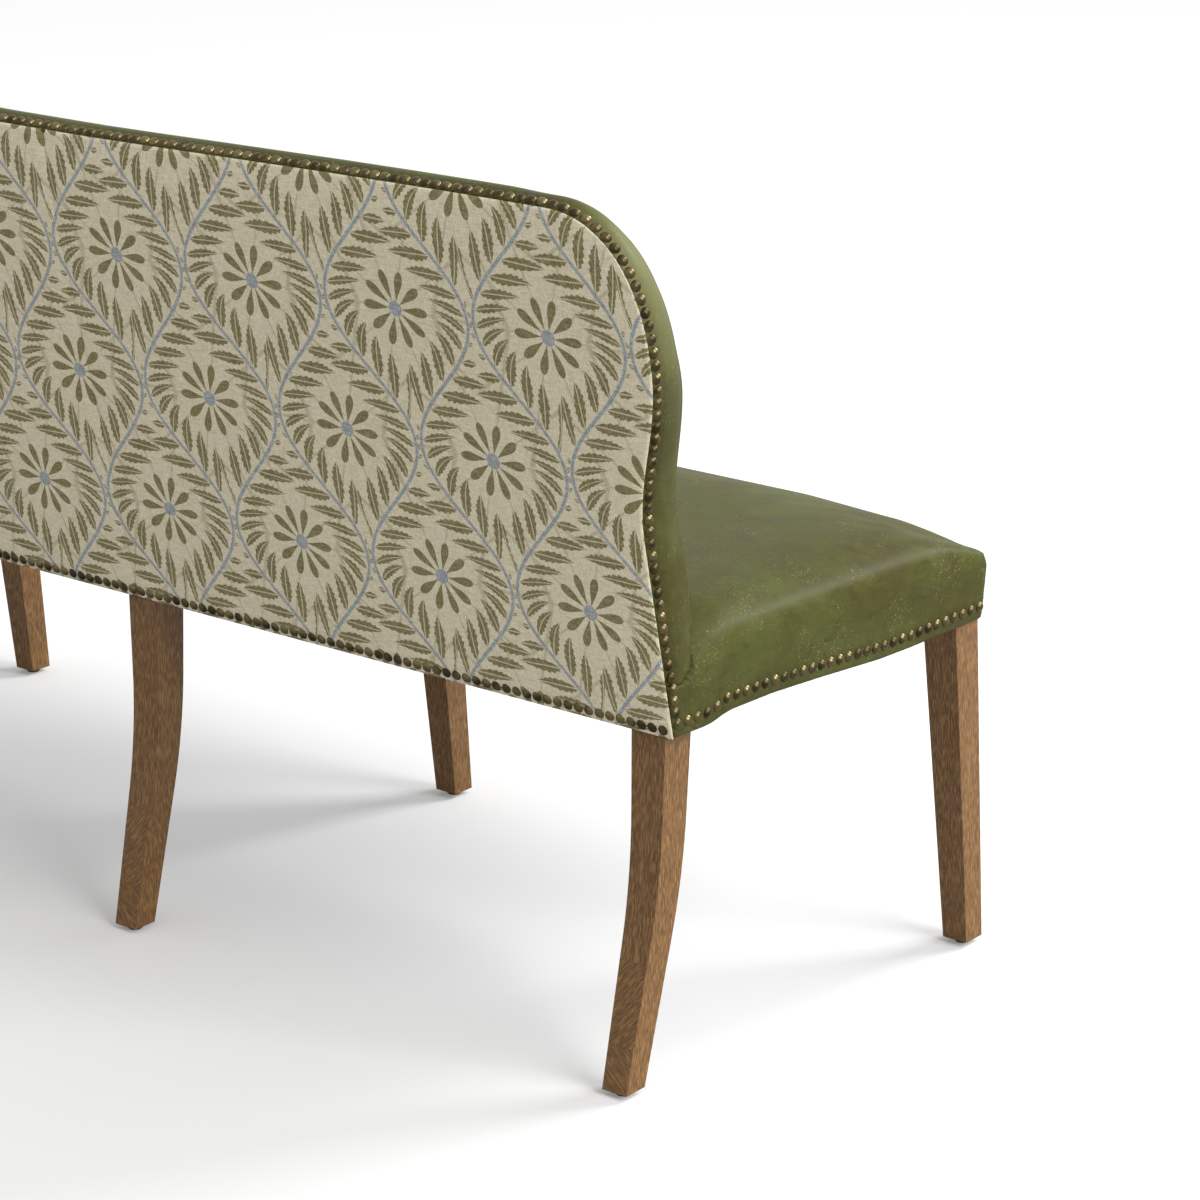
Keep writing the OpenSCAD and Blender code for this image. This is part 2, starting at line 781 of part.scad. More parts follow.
module centre_block(front) {
    s = front ? 1 : -1;
    leg_y = front ? front_leg_rear : leg_front_y;
    rail_y = front ? -frame_front + rail_thickness : rear_rail_y;
    far_y = leg_y + s * (block_leg - leg_top + rail_thickness);
    translate([0, 0, block_z])
        linear_extrude(block_height)
            polygon([
                [long_start + block_leg, rail_y], [long_start, rail_y], [long_start, leg_y],
                [rail_thickness / 2, leg_y],
                [rail_thickness / 2, far_y],
                [rail_thickness / 2 + block_leg / 5, far_y],
                [long_start + block_leg, rail_y + s * block_leg / 5]
            ]);
}

module corner_blocks() {
    color(BEECH)
        difference() {
            for (flip = [0, 1])
                mirror([flip, 0, 0])
                    for (front = [true, false]) {
                        end_block(front);
                        centre_block(front);
                    }
            screws(soft_gap / 3, block_leg / 2);
        }
}

// Screws through the blocks into the inner corners of the legs
module screw_at(corner_x, corner_y, heading, gap, sunk) {
    translate([corner_x, corner_y, block_z + block_height / 2])
        rotate([0, 90, heading])
            translate([0, 0, screw_bite - screw_length]) {
                cylinder(d = screw_diameter + 2 * gap, h = screw_length + gap);
                translate([0, 0, -screw_head_height - sunk])
                    cylinder(d = screw_head + 2 * gap, h = screw_head_height + sunk + gap);
            }
}

module screws(gap = 0, sunk = 0) {
    for (flip = [0, 1])
        mirror([flip, 0, 0]) {
            screw_at(front_rail_end, front_leg_rear, -45, gap, sunk);
            screw_at(rear_rail_end, leg_front_y, 45, gap, sunk);
            screw_at(long_start, front_leg_rear, -135, gap, sunk);
            screw_at(long_start, leg_front_y, 135, gap, sunk);
        }
}

module block_screws() {
    color(STEEL) screws();
}

// Back frame above the seat
module back_corner_right() {
    color(BEECH)
        bored()
            intersection() {
                rear_band(post_t, post_t + post_depth, rail_top);
                frame_ring();
                between(top_rail_half, back_width, flare_end, back_height + 20);
            }
}

module back_corner_left() {
    mirror([1, 0, 0]) back_corner_right();
}

module back_top_rail() {
    color(BEECH)
        bored()
            intersection() {
                rear_band(post_t, post_t + post_depth, rail_top);
                frame_ring();
                between(-top_rail_half, top_rail_half, flare_end, back_height + 20);
            }
}

lower_rail_z = rail_top + lower_rail_gap;
lower_rail_end = rear_half * (1 - (frame_inset + post_width) / back_hx);
module back_lower_rail_right() {
    color(BEECH)
        bored()
            intersection() {
                rear_band(post_t, post_t + post_depth, rail_top);
                between(long_start, lower_rail_end, lower_rail_z, lower_rail_z + lower_rail_height);
            }
}

module back_lower_rail_left() {
    mirror([1, 0, 0]) back_lower_rail_right();
}

ring_top = back_cz + back_hz * (1 - (frame_inset + post_width / 2) / back_hz);
ring_side = back_hx * (1 - (frame_inset + post_width / 2) / back_hx);
module back_pins(gap = 0) {
    size = dowel_diameter + 2 * gap;
    length = dowel_length + 2 * gap;
    lower_mid = lower_rail_z + lower_rail_height / 2;
    for (side = [-1, 1]) {
        translate([side * ring_side, rear_y(flare_end) - post_t - post_depth / 2, flare_end])
            rotate([-back_rake, 0, 0])
                cylinder(d = size, h = length, center = true);
        translate([side * top_rail_half, rear_y(ring_top) - post_t - post_depth / 2, ring_top])
            rotate([0, 90, 0])
                cylinder(d = size, h = length, center = true);
        for (x = [long_start, lower_rail_end])
            for (level = [-1, 1])
                let (z = lower_mid + level * lower_rail_height / 4)
                    translate([side * x, rear_y(z) - post_t - post_depth / 2, z])
                        rotate([0, 90, 0])
                            cylinder(d = size, h = length, center = true);
    }
}

module back_dowels() {
    color(BEECH) back_pins();
}

// Webbing and hessian, tacked down a little inside the edges of the frame
STRAP_INSET = 4;
HESSIAN_INSET = 2;
DUST_INSET = 8;
strap_end = rear_rail_y + rail_thickness / 2;
strap_front = -frame_front + STRAP_INSET;
module seat_webbing_cross() {
    pitch = (front_rail_end - long_start) / cross_straps;
    color(BLACK)
        for (side = [-1, 1])
            for (i = [0:cross_straps - 1])
                let (x = side * (long_start + (i + 0.5) * pitch))
                    translate([x - strap_width / 2, strap_front, rail_top])
                        cube([strap_width, strap_end - strap_front, strap_thickness]);
}

module seat_webbing_long() {
    room = leg_front_y - front_leg_rear;
    pitch = room / long_straps;
    color(BLACK)
        for (i = [0:long_straps - 1])
            let (y = front_leg_rear + (i + 0.5) * pitch, reach = rail_outer(y) - STRAP_INSET)
                translate([-reach, y - strap_width / 2, rail_top + strap_thickness])
                    cube([2 * reach, strap_width, strap_thickness]);
}

// A sheet under the seat, drawn in from the sides of the rails
module seat_sheet(front, rear, inset) {
    front_x = rail_outer(front) - inset;
    rear_x = rail_outer(rear) - inset;
    polygon([[-rear_x, rear], [rear_x, rear], [front_x, front], [-front_x, front]]);
}

module seat_hessian() {
    color(LINEN)
        translate([0, 0, hessian_z])
            linear_extrude(hessian_thickness)
                seat_sheet(-frame_front + HESSIAN_INSET, strap_end, HESSIAN_INSET);
}

strap_foot = lower_rail_z + 2 * STRAP_INSET;
strap_head = ring_top + 2 * STRAP_INSET;
module back_webbing_upright() {
    pitch = (lower_rail_end - long_start) / upright_straps;
    color(BLACK)
        intersection() {
            rear_band(strap_t, strap_t + strap_thickness, rail_top);
            for (side = [-1, 1])
                for (i = [0:upright_straps - 1])
                    let (x = side * (long_start + (i + 0.5) * pitch))
                        between(x - strap_width / 2, x + strap_width / 2, strap_foot, strap_head);
        }
}

LONG_STRAP_SHARES = [0.3, 0.7];
module back_webbing_long() {
    color(BLACK)
        intersection() {
            rear_band(strap_t + strap_thickness, hessian_t, rail_top);
            for (share = LONG_STRAP_SHARES)
                let (z = strap_foot + (strap_head - strap_foot) * share)
                    between(-ring_side, ring_side, z - strap_width / 2, z + strap_width / 2);
            facing(drawn_in(back_outline(rail_top), frame_inset + STRAP_INSET));
        }
}

module back_hessian() {
    color(LINEN)
        intersection() {
            rear_band(hessian_t, hessian_t + hessian_thickness, lower_rail_z + STRAP_INSET);
            facing(drawn_in(back_outline(lower_rail_z), frame_inset + STRAP_INSET));
        }
}

// Dust cover on the underside of the rails, cut round the legs
module dust_cover() {
    notch = leg_top + 2 * soft_gap;
    color(BLACK)
        translate([0, 0, rail_bottom - dust_thickness])
            linear_extrude(dust_thickness)
                difference() {
                    seat_sheet(strap_front, rear_rail_y - soft_gap, DUST_INSET);
                    for (x = [-end_rear_x, 0, end_rear_x])
                        translate([x, leg_rear_y - leg_top / 2])
                            square(notch, center = true);
                    for (x = [-end_front_x, 0, end_front_x])
                        translate([x, -frame_front + leg_top / 2])
                            square(notch, center = true);
                }
}

// Domed nails
module nail_head() {
    dome = (pow(nail_diameter / 2, 2) + pow(nail_rise, 2)) / (2 * nail_rise);
    intersection() {
        translate([0, 0, nail_rise - dome])
            sphere(dome);
        cylinder(d = nail_diameter + 1, h = 2 * nail_rise);
    }
}

nail_low = under_z + nail_row;
side_start_y = rear_y(nail_low) - edge_setback;
edge_low = side_nail_z(side_start_y);
NAIL_SEAT = 0.35;
// The side band swells forward of the nails, which lean back with it
band_slope = (band_swell * 0.8 - EDGE_START) / (band_width * 0.3 - edge_end);
edge_swell = EDGE_START + band_slope * (edge_setback - edge_end);
top_slope = (top_bulge(edge_setback + 1) - top_bulge(edge_setback - 1)) / 2;
side_step = seat_half(seat_rear_y + turn_t - edge_setback) - rear_half;
edge_path = concat(
    [[rear_half, edge_low + edge_pitch], [rear_half, flare_start]],
    [for (p = right_side(flare_start)) if (p.y > flare_start) p]
);
edge_loop = concat(edge_path, mirrored(edge_path));
edge_steps = [for (i = [1:len(edge_loop) - 1]) norm(edge_loop[i] - edge_loop[i - 1])];
function reached(i) = i == 0 ? 0 : reached(i - 1) + edge_steps[i - 1];
edge_marks = [for (i = [0:len(edge_loop) - 1]) reached(i)];
edge_total = edge_marks[len(edge_marks) - 1];

module nails_back_edge() {
    count = floor(edge_total / edge_pitch);
    color(BRASS)
        for (i = [0:count])
            let (
                s = min(edge_total - EPS, edge_total * i / count),
                k = max([for (m = [0:len(edge_marks) - 2]) if (edge_marks[m] <= s) m]),
                a = edge_loop[k],
                b = edge_loop[k + 1],
                p = a + (b - a) * (s - edge_marks[k]) / edge_steps[k],
                n = unit([(b - a).y, -(b - a).x]),
                on_band = p.y > cushion_bottom,
                share = pow(max(0, p.y - back_cz) / back_hz, 2) * n.y,
                lift = top_bulge(edge_setback) * share,
                slope = on_band ? (band_slope + top_slope * share) / taper(p.y) : 0,
                swell = NAIL_SEAT + lift + (on_band ? edge_swell : side_step + seat_bulge(p.y)),
                y = rear_y(p.y) - tapered(edge_setback, p.y)
            )
                translate([p.x + n.x * swell, y, p.y + n.y * swell])
                    rotate([0, atan2(n.x, n.y), 0])
                        rotate([-atan(slope), 0, 0])
                            nail_head();
}

module nails_rear_bottom() {
    reach = rear_half - nail_diameter;
    count = floor(2 * reach / rear_pitch);
    z = nail_low;
    color(BRASS)
        for (i = [0:count])
            translate([-reach + 2 * reach * i / count, rear_y(z) + NAIL_SEAT, z])
                rotate([-90 - back_rake, 0, 0])
                    nail_head();
}

module nails_side_right() {
    end = seat_front_y + seat_front_radius;
    count = floor((side_start_y - end) / side_pitch);
    color(BRASS)
        for (i = [0:count])
            let (y = side_start_y + (end - side_start_y) * i / count, z = side_nail_z(y))
                translate([seat_half(y) + seat_bulge(z) + NAIL_SEAT, y, z])
                    rotate([0, 90, side_angle])
                        nail_head();
}

module nails_side_left() {
    mirror([1, 0, 0]) nails_side_right();
}

module nails_front() {
    reach = seat_hx - seat_front_radius;
    count = floor(2 * reach / side_pitch);
    z = side_nail_z(seat_front_y);
    swell = seat_bulge(z) + NAIL_SEAT;
    color(BRASS)
        for (i = [0:count])
            translate([-reach + 2 * reach * i / count, seat_front_y - swell, z])
                rotate([90, 0, 0])
                    nail_head();
}

rear_leg_left();
rear_leg_centre();
rear_leg_right();
front_leg_left();
front_leg_centre();
front_leg_right();
glides();
front_rail_left();
front_rail_right();
rear_rail_left();
rear_rail_right();
side_rail_left();
side_rail_right();
centre_rail();
rail_dowels();
corner_blocks();
block_screws();
back_corner_left();
back_corner_right();
back_top_rail();
back_lower_rail_left();
back_lower_rail_right();
back_dowels();
seat_webbing_cross();
seat_webbing_long();
seat_hessian();
back_webbing_upright();
back_webbing_long();
back_hessian();
seat_foam();
back_foam();
seat_cover();
back_cover();
rear_lining();
rear_panel_left();
rear_panel_right();
dust_cover();
nails_back_edge();
nails_rear_bottom();
nails_side_left();
nails_side_right();
nails_front();
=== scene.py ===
# %% [markdown]
# # An upholstered dining bench with a high back
#
# The bench has a beech frame on six oak legs, a leather seat and back, and a printed linen
# panel over the rear. The frame, legs and nails come from the CAD model as they are, and get
# their finishes here. Everything soft is modelled again, because upholstery is never as
# straight as its drawing: leather swells between the nails, and cloth pulls at its tacks.

# %% Load the frame
import math

import bpy
import numpy as np
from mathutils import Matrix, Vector
from mathutils.kdtree import KDTree


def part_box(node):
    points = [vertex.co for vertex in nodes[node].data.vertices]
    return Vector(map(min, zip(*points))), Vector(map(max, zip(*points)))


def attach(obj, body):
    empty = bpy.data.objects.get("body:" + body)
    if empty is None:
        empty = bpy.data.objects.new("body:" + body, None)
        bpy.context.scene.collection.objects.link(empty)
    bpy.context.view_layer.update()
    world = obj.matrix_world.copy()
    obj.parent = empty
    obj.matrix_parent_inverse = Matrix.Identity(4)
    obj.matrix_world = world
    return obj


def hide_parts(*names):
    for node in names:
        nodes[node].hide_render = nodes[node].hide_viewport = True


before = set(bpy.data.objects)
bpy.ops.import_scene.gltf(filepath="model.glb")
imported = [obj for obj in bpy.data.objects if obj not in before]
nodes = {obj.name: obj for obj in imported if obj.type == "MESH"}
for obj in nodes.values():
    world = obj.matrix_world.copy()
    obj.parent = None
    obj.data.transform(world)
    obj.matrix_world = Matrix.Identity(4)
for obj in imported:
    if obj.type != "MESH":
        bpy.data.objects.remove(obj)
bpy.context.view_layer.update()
scene = bpy.context.scene

# %% [markdown]
# ## The camera and the room
#
# The camera stands behind the near end of the bench, at the height of a standing person's
# eyes, with a long lens. A long lens keeps the verticals almost parallel, as a catalogue
# picture does. The room is a white cove: a wide floor and a white world. One very large soft
# lamp stands on the side of the near end, so the ends of the legs are light and their rear
# faces are darker, and the shadow under the bench stays soft. A softbox in front draws the
# long highlight on the roll of the seat, and a weak wide lamp overhead fills the rest.

# %% Camera
CAMERA_AT, LOOKS_ALONG = (-2.8217, 2.9465, 1.619), (0.5949, -0.7437, -0.3050)
LENS, SEES_TO = 115.17, 200
camera = bpy.data.objects.new("camera", bpy.data.cameras.new("camera"))
scene.collection.objects.link(camera)
camera.location = CAMERA_AT
camera.rotation_euler = Vector(LOOKS_ALONG).to_track_quat("-Z", "Y").to_euler()
camera.data.lens = LENS
camera.data.clip_end = SEES_TO
scene.camera = camera
scene.view_settings.view_transform = "Standard"
print("camera is", round(camera.location.length, 2), "m from the origin")

# %% [markdown]
# Two helpers serve every finish. The first turns a colour written as on a paint card, in
# sRGB, to the linear numbers that a shader wants. The second adds one node, sets what is
# given and joins what is another node, so that a finish reads as a list of its layers.


# %% Helpers for finishes
def linear(colour):
    """A hex colour, such as #6b6b42, as linear red, green, blue and alpha."""
    parts = [int(colour[i : i + 2], 16) / 255 for i in (1, 3, 5)]
    return [p / 12.92 if p <= 0.04045 else ((p + 0.055) / 1.055) ** 2.4 for p in parts] + [1.0]


def add(tree, kind, inputs=None, **settings):
    """Add a node with its settings; an input takes a value, a socket or another node."""
    node = tree.nodes.new(kind)
    for name, value in settings.items():
        setattr(node, name, value)
    for key, value in (inputs or {}).items():
        if isinstance(value, bpy.types.Node):
            value = value.outputs[0]
        if isinstance(value, bpy.types.NodeSocket):
            tree.links.new(value, node.inputs[key])
        else:
            node.inputs[key].default_value = value
    return node


def new_finish(name):
    """An empty material and its node tree."""
    finish = bpy.data.materials.new(name)
    finish.use_nodes = True
    finish.node_tree.nodes.clear()
    return finish, finish.node_tree


print("olive leather in linear numbers:", [round(c, 3) for c in linear("#6b6b42")[:3]])

# %% [markdown]
# Rays that come straight from the camera, or by way of a shiny surface, see a white world. The
# light that falls on the bench from the world is set apart from that, so the background stays
# white however the lamps are set.

# %% World
SKY_LEVEL = 0.45
world = bpy.data.worlds.new("white_cove")
scene.world = world
world.use_nodes = True
air = world.node_tree
air.nodes.clear()
path = add(air, "ShaderNodeLightPath")
seen = add(air, "ShaderNodeMath",
           {0: path.outputs["Is Camera Ray"], 1: path.outputs["Is Glossy Ray"]},
           operation="MAXIMUM")
seen = add(air, "ShaderNodeMath", {0: seen, 1: path.outputs["Is Transmission Ray"]},
           operation="MAXIMUM")
level = add(air, "ShaderNodeMix", {0: seen, 2: SKY_LEVEL, 3: 1.0}, data_type="FLOAT")
sky = add(air, "ShaderNodeBackground", {"Color": (1, 1, 1, 1), "Strength": level})
add(air, "ShaderNodeOutputWorld", {"Surface": sky})
print("the world's light on the bench:", SKY_LEVEL)

# %% Side and top lamps
LAMPS = {  # how bright, how wide in degrees, and which way it stands
    "side_softbox": (2.8, 40, (-0.82, 0.0, 0.57)),
    "top_softbox": (0.5, 80, (0.0, -0.1, 1.0)),
}
for name, (energy, angle, to_lamp) in LAMPS.items():
    lamp = bpy.data.objects.new(name, bpy.data.lights.new(name, "SUN"))
    scene.collection.objects.link(lamp)
    lamp.data.energy = energy
    lamp.data.angle = math.radians(angle)
    lamp.rotation_euler = Vector(to_lamp).to_track_quat("Z", "Y").to_euler()
    height = math.degrees(math.asin(Vector(to_lamp).normalized().z))
    print(name, "stands at", round(height), "degrees above the floor")

# %% Softbox in front
TO_FRONT = Vector((-0.30, -0.75, 0.59)).normalized()
LIT_PLACE, FRONT_AWAY, FRONT_POWER, FRONT_SIZE = Vector((-0.7, 0.1, 0.6)), 5.5, 235, 2.2
front = bpy.data.objects.new("front_softbox", bpy.data.lights.new("front_softbox", "AREA"))
scene.collection.objects.link(front)
front.location = LIT_PLACE + TO_FRONT * FRONT_AWAY
front.rotation_euler = TO_FRONT.to_track_quat("Z", "Y").to_euler()
front.data.energy = FRONT_POWER
front.data.size = FRONT_SIZE
front.visible_camera = False
print("front softbox is", FRONT_AWAY, "m from the end that it lights")

# %% [markdown]
# The floor is matt white and takes the shadow. It throws back half of the light, so that the
# undersides stay dark, but the camera sees a whiter paint with a little glow of its own, as on
# the lit paper of a photographer's studio.

# %% Floor
PAINT_LIT, PAINT_SEEN, GLOW, REACH = (0.5, 0.5, 0.5, 1), (0.8, 0.8, 0.8, 1), 0.18, 40.0
floor_finish, tree = new_finish("white_floor")
path = add(tree, "ShaderNodeLightPath")
from_camera = path.outputs["Is Camera Ray"]
paint = add(tree, "ShaderNodeMix", {0: from_camera, 6: PAINT_LIT, 7: PAINT_SEEN},
            data_type="RGBA")
matt = add(tree, "ShaderNodeBsdfDiffuse", {"Color": paint.outputs[2]})
glow = add(tree, "ShaderNodeEmission", {"Strength": 1.0})
lift = add(tree, "ShaderNodeMath", {0: from_camera, 1: GLOW}, operation="MULTIPLY")
paper = add(tree, "ShaderNodeMixShader", {0: lift, 1: matt, 2: glow})
add(tree, "ShaderNodeOutputMaterial", {"Surface": paper})
floor_mesh = bpy.data.meshes.new("floor")
floor_mesh.from_pydata(
    [(-REACH, -REACH, 0), (REACH, -REACH, 0), (REACH, REACH, 0), (-REACH, REACH, 0)],
    [], [(0, 1, 2, 3)])
floor = bpy.data.objects.new("floor", floor_mesh)
scene.collection.objects.link(floor)
floor.data.materials.append(floor_finish)
print("floor reaches", REACH, "m each way")

# %% [markdown]
# ## Leather
#
# The seat and the back are covered in waxed olive cowhide: drum dyed, then waxed by hand, so
# it has a semi-gloss face, cloudy patches where the wax lies thicker, and small pale scuffs.
# The eye reads three sizes of mark: clouds of about 110 mm, streaks of about 17 mm and scuffs
# of a few millimetres. The pores themselves are about 0.3 mm, too fine to show here, so they
# are drawn at 1.6 mm and kept very shallow. Leather has an IOR of about 1.5. Its shine is set
# low, because the wax is brushed out and the white room would otherwise grey it all over.

# %% Waxed leather: clouds, streaks and scuffs
leather_finish, tree = new_finish("waxed_leather")
place = add(tree, "ShaderNodeTexCoord").outputs["Object"]
PER_METRE = 1000.0  # a texture scale of PER_METRE / size draws marks of that size in mm
cloud = add(tree, "ShaderNodeTexNoise", {"Vector": place, "Scale": PER_METRE / 110, "Detail": 4.0,
                                         "Roughness": 0.55})
long_place = add(tree, "ShaderNodeMapping", {"Vector": place, "Scale": (1.0, 0.7, 1.3)})
streak = add(tree, "ShaderNodeTexNoise", {"Vector": long_place, "Scale": PER_METRE / 17,
                                          "Detail": 9.0, "Roughness": 0.68,
                                          "Distortion": 0.5})
scuff = add(tree, "ShaderNodeTexNoise", {"Vector": place, "Scale": PER_METRE / 2.2, "Detail": 4.0,
                                         "Roughness": 0.7, "Distortion": 0.8})
patch = add(tree, "ShaderNodeTexNoise", {"Vector": place, "Scale": PER_METRE / 48, "Detail": 3.0,
                                         "Roughness": 0.6})
cloud_share = add(tree, "ShaderNodeMapRange", {0: cloud, 1: 0.36, 2: 0.66})
base = add(tree, "ShaderNodeMix", {0: cloud_share, 6: linear("#43401d"), 7: linear("#4b4e25")},
           data_type="RGBA")
streak_share = add(tree, "ShaderNodeMapRange", {0: streak, 1: 0.5, 2: 0.76, 4: 0.5})
dark_share = add(tree, "ShaderNodeMapRange", {0: streak, 1: 0.46, 2: 0.3, 4: 0.5})
patch_share = add(tree, "ShaderNodeMapRange", {0: patch, 1: 0.46, 2: 0.62})
scuff_share = add(tree, "ShaderNodeMapRange", {0: scuff, 1: 0.58, 2: 0.68, 4: 0.6})
scuff_share = add(tree, "ShaderNodeMath", {0: scuff_share, 1: patch_share}, operation="MULTIPLY")
for share, colour in ((streak_share, "#595b2b"), (dark_share, "#302d10"),
                      (scuff_share, "#a5a67c")):
    base = add(tree, "ShaderNodeMix", {0: share, 6: base.outputs[2], 7: linear(colour)},
               data_type="RGBA")
print("marks from clouds to pores:", len(tree.nodes), "nodes")

# %% [markdown]
# The two top corners of the back, where the band turns, are painted paler: a painted highlight
# that stands in for the light from above that shines on them. The place is found from the
# distance to the middle and from the height, both in metres.

# %% Waxed leather: painted highlight on the top corners, and shine
HIGHLIGHT_FROM, HIGHLIGHT_TO = 0.66, 0.75  # along the bench, from its middle
HIGHLIGHT_FOOT, HIGHLIGHT_TOP = 0.68, 0.88
spot = add(tree, "ShaderNodeSeparateXYZ", {0: place})
side_on = add(tree, "ShaderNodeMath", {0: spot.outputs[0]}, operation="ABSOLUTE")
side_on = add(tree, "ShaderNodeMapRange", {0: side_on, 1: HIGHLIGHT_FROM, 2: HIGHLIGHT_TO, 4: 0.55},
              interpolation_type="SMOOTHSTEP")
high_up = add(tree, "ShaderNodeMapRange", {0: spot.outputs[2], 1: HIGHLIGHT_FOOT, 2: HIGHLIGHT_TOP},
              interpolation_type="SMOOTHSTEP")
# Painted highlight: the leather at the back's top corners is mixed toward a pale olive
painted_highlight = add(tree, "ShaderNodeMath", {0: side_on, 1: high_up}, operation="MULTIPLY")
base = add(tree, "ShaderNodeMix", {0: painted_highlight, 6: base.outputs[2], 7: linear("#83845b")},
           data_type="RGBA")
rough = add(tree, "ShaderNodeMapRange", {0: streak, 1: 0.3, 2: 0.75, 3: 0.38, 4: 0.54})
pores = add(tree, "ShaderNodeTexVoronoi", {"Vector": place, "Scale": PER_METRE / 1.6})
shallow = add(tree, "ShaderNodeBump", {"Height": pores, "Strength": 0.05, "Distance": 0.0004})
crease = add(tree, "ShaderNodeBump", {"Height": streak, "Strength": 0.25, "Distance": 0.0016,
                                      "Normal": shallow})
hide = add(tree, "ShaderNodeBsdfPrincipled", {
    "Base Color": base.outputs[2], "Roughness": rough, "Normal": crease, "IOR": 1.5,
    "Specular IOR Level": 0.08})
add(tree, "ShaderNodeOutputMaterial", {"Surface": hide})
print("leather nodes:", len(tree.nodes))

# %% [markdown]
# ## Printed linen
#
# The rear panel is a heavy linen twill, screen printed in olive and grey blue on its natural
# cream. The print is a plain trellis of leafy garlands: two families of curving lines that
# meet and part, each with paired leaves, and a small round flower in each eye of the trellis.
# The lines repeat every 187 mm across and every 281 mm up. All of it is arithmetic on the
# place of a point in millimetres, so the print needs no picture and stays sharp up close. The
# threads are about 0.7 mm, too fine for this view, and are drawn at about 1.3 mm.

# %% Printed linen: where the garlands run
linen_finish, tree = new_finish("printed_linen")
place = add(tree, "ShaderNodeTexCoord").outputs["Object"]
in_mm = add(tree, "ShaderNodeVectorMath", {0: place, 1: (1000.0, 1000.0, 1000.0)},
            operation="MULTIPLY")
axes = add(tree, "ShaderNodeSeparateXYZ", {0: in_mm})
across, up = axes.outputs[0], axes.outputs[2]
REPEAT, RISE, SWAY, PRINT_AT = 187.0, 281.0, 43.0, 13.0
wave = 2 * math.pi / RISE
turn = add(tree, "ShaderNodeMath", {0: up, 1: wave}, operation="MULTIPLY")
sine = add(tree, "ShaderNodeMath", {0: turn}, operation="SINE")
cosine = add(tree, "ShaderNodeMath", {0: turn}, operation="COSINE")
garlands = []
for side, shift in ((1.0, PRINT_AT + REPEAT / 4), (-1.0, PRINT_AT - REPEAT / 4)):
    middle = add(tree, "ShaderNodeMath", {0: sine, 1: side * SWAY, 2: shift},
                 operation="MULTIPLY_ADD")
    off = add(tree, "ShaderNodeMath", {0: across, 1: middle}, operation="SUBTRACT")
    off = add(tree, "ShaderNodeMath", {0: off, 1: -REPEAT / 2, 2: REPEAT / 2}, operation="WRAP")
    # The true distance from a sloping line, and the height of the nearest place on it
    slope = add(tree, "ShaderNodeMath", {0: cosine, 1: side * SWAY * wave}, operation="MULTIPLY")
    steep = add(tree, "ShaderNodeMath", {0: slope, 1: slope, 2: 1.0}, operation="MULTIPLY_ADD")
    root = add(tree, "ShaderNodeMath", {0: steep}, operation="SQRT")
    true_off = add(tree, "ShaderNodeMath", {0: off, 1: root}, operation="DIVIDE")
    nudge = add(tree, "ShaderNodeMath", {0: off, 1: slope}, operation="MULTIPLY")
    nudge = add(tree, "ShaderNodeMath", {0: nudge, 1: steep}, operation="DIVIDE")
    nearest = add(tree, "ShaderNodeMath", {0: up, 1: nudge}, operation="ADD")
    garlands.append((side, true_off, nearest))
slopes = SWAY * wave * np.cos(np.linspace(0, 2 * np.pi, 200))
stretch = float(np.mean(np.sqrt(1 + slopes**2)))
print("garlands:", len(garlands), "and a stem is", round(stretch, 2), "times its height")

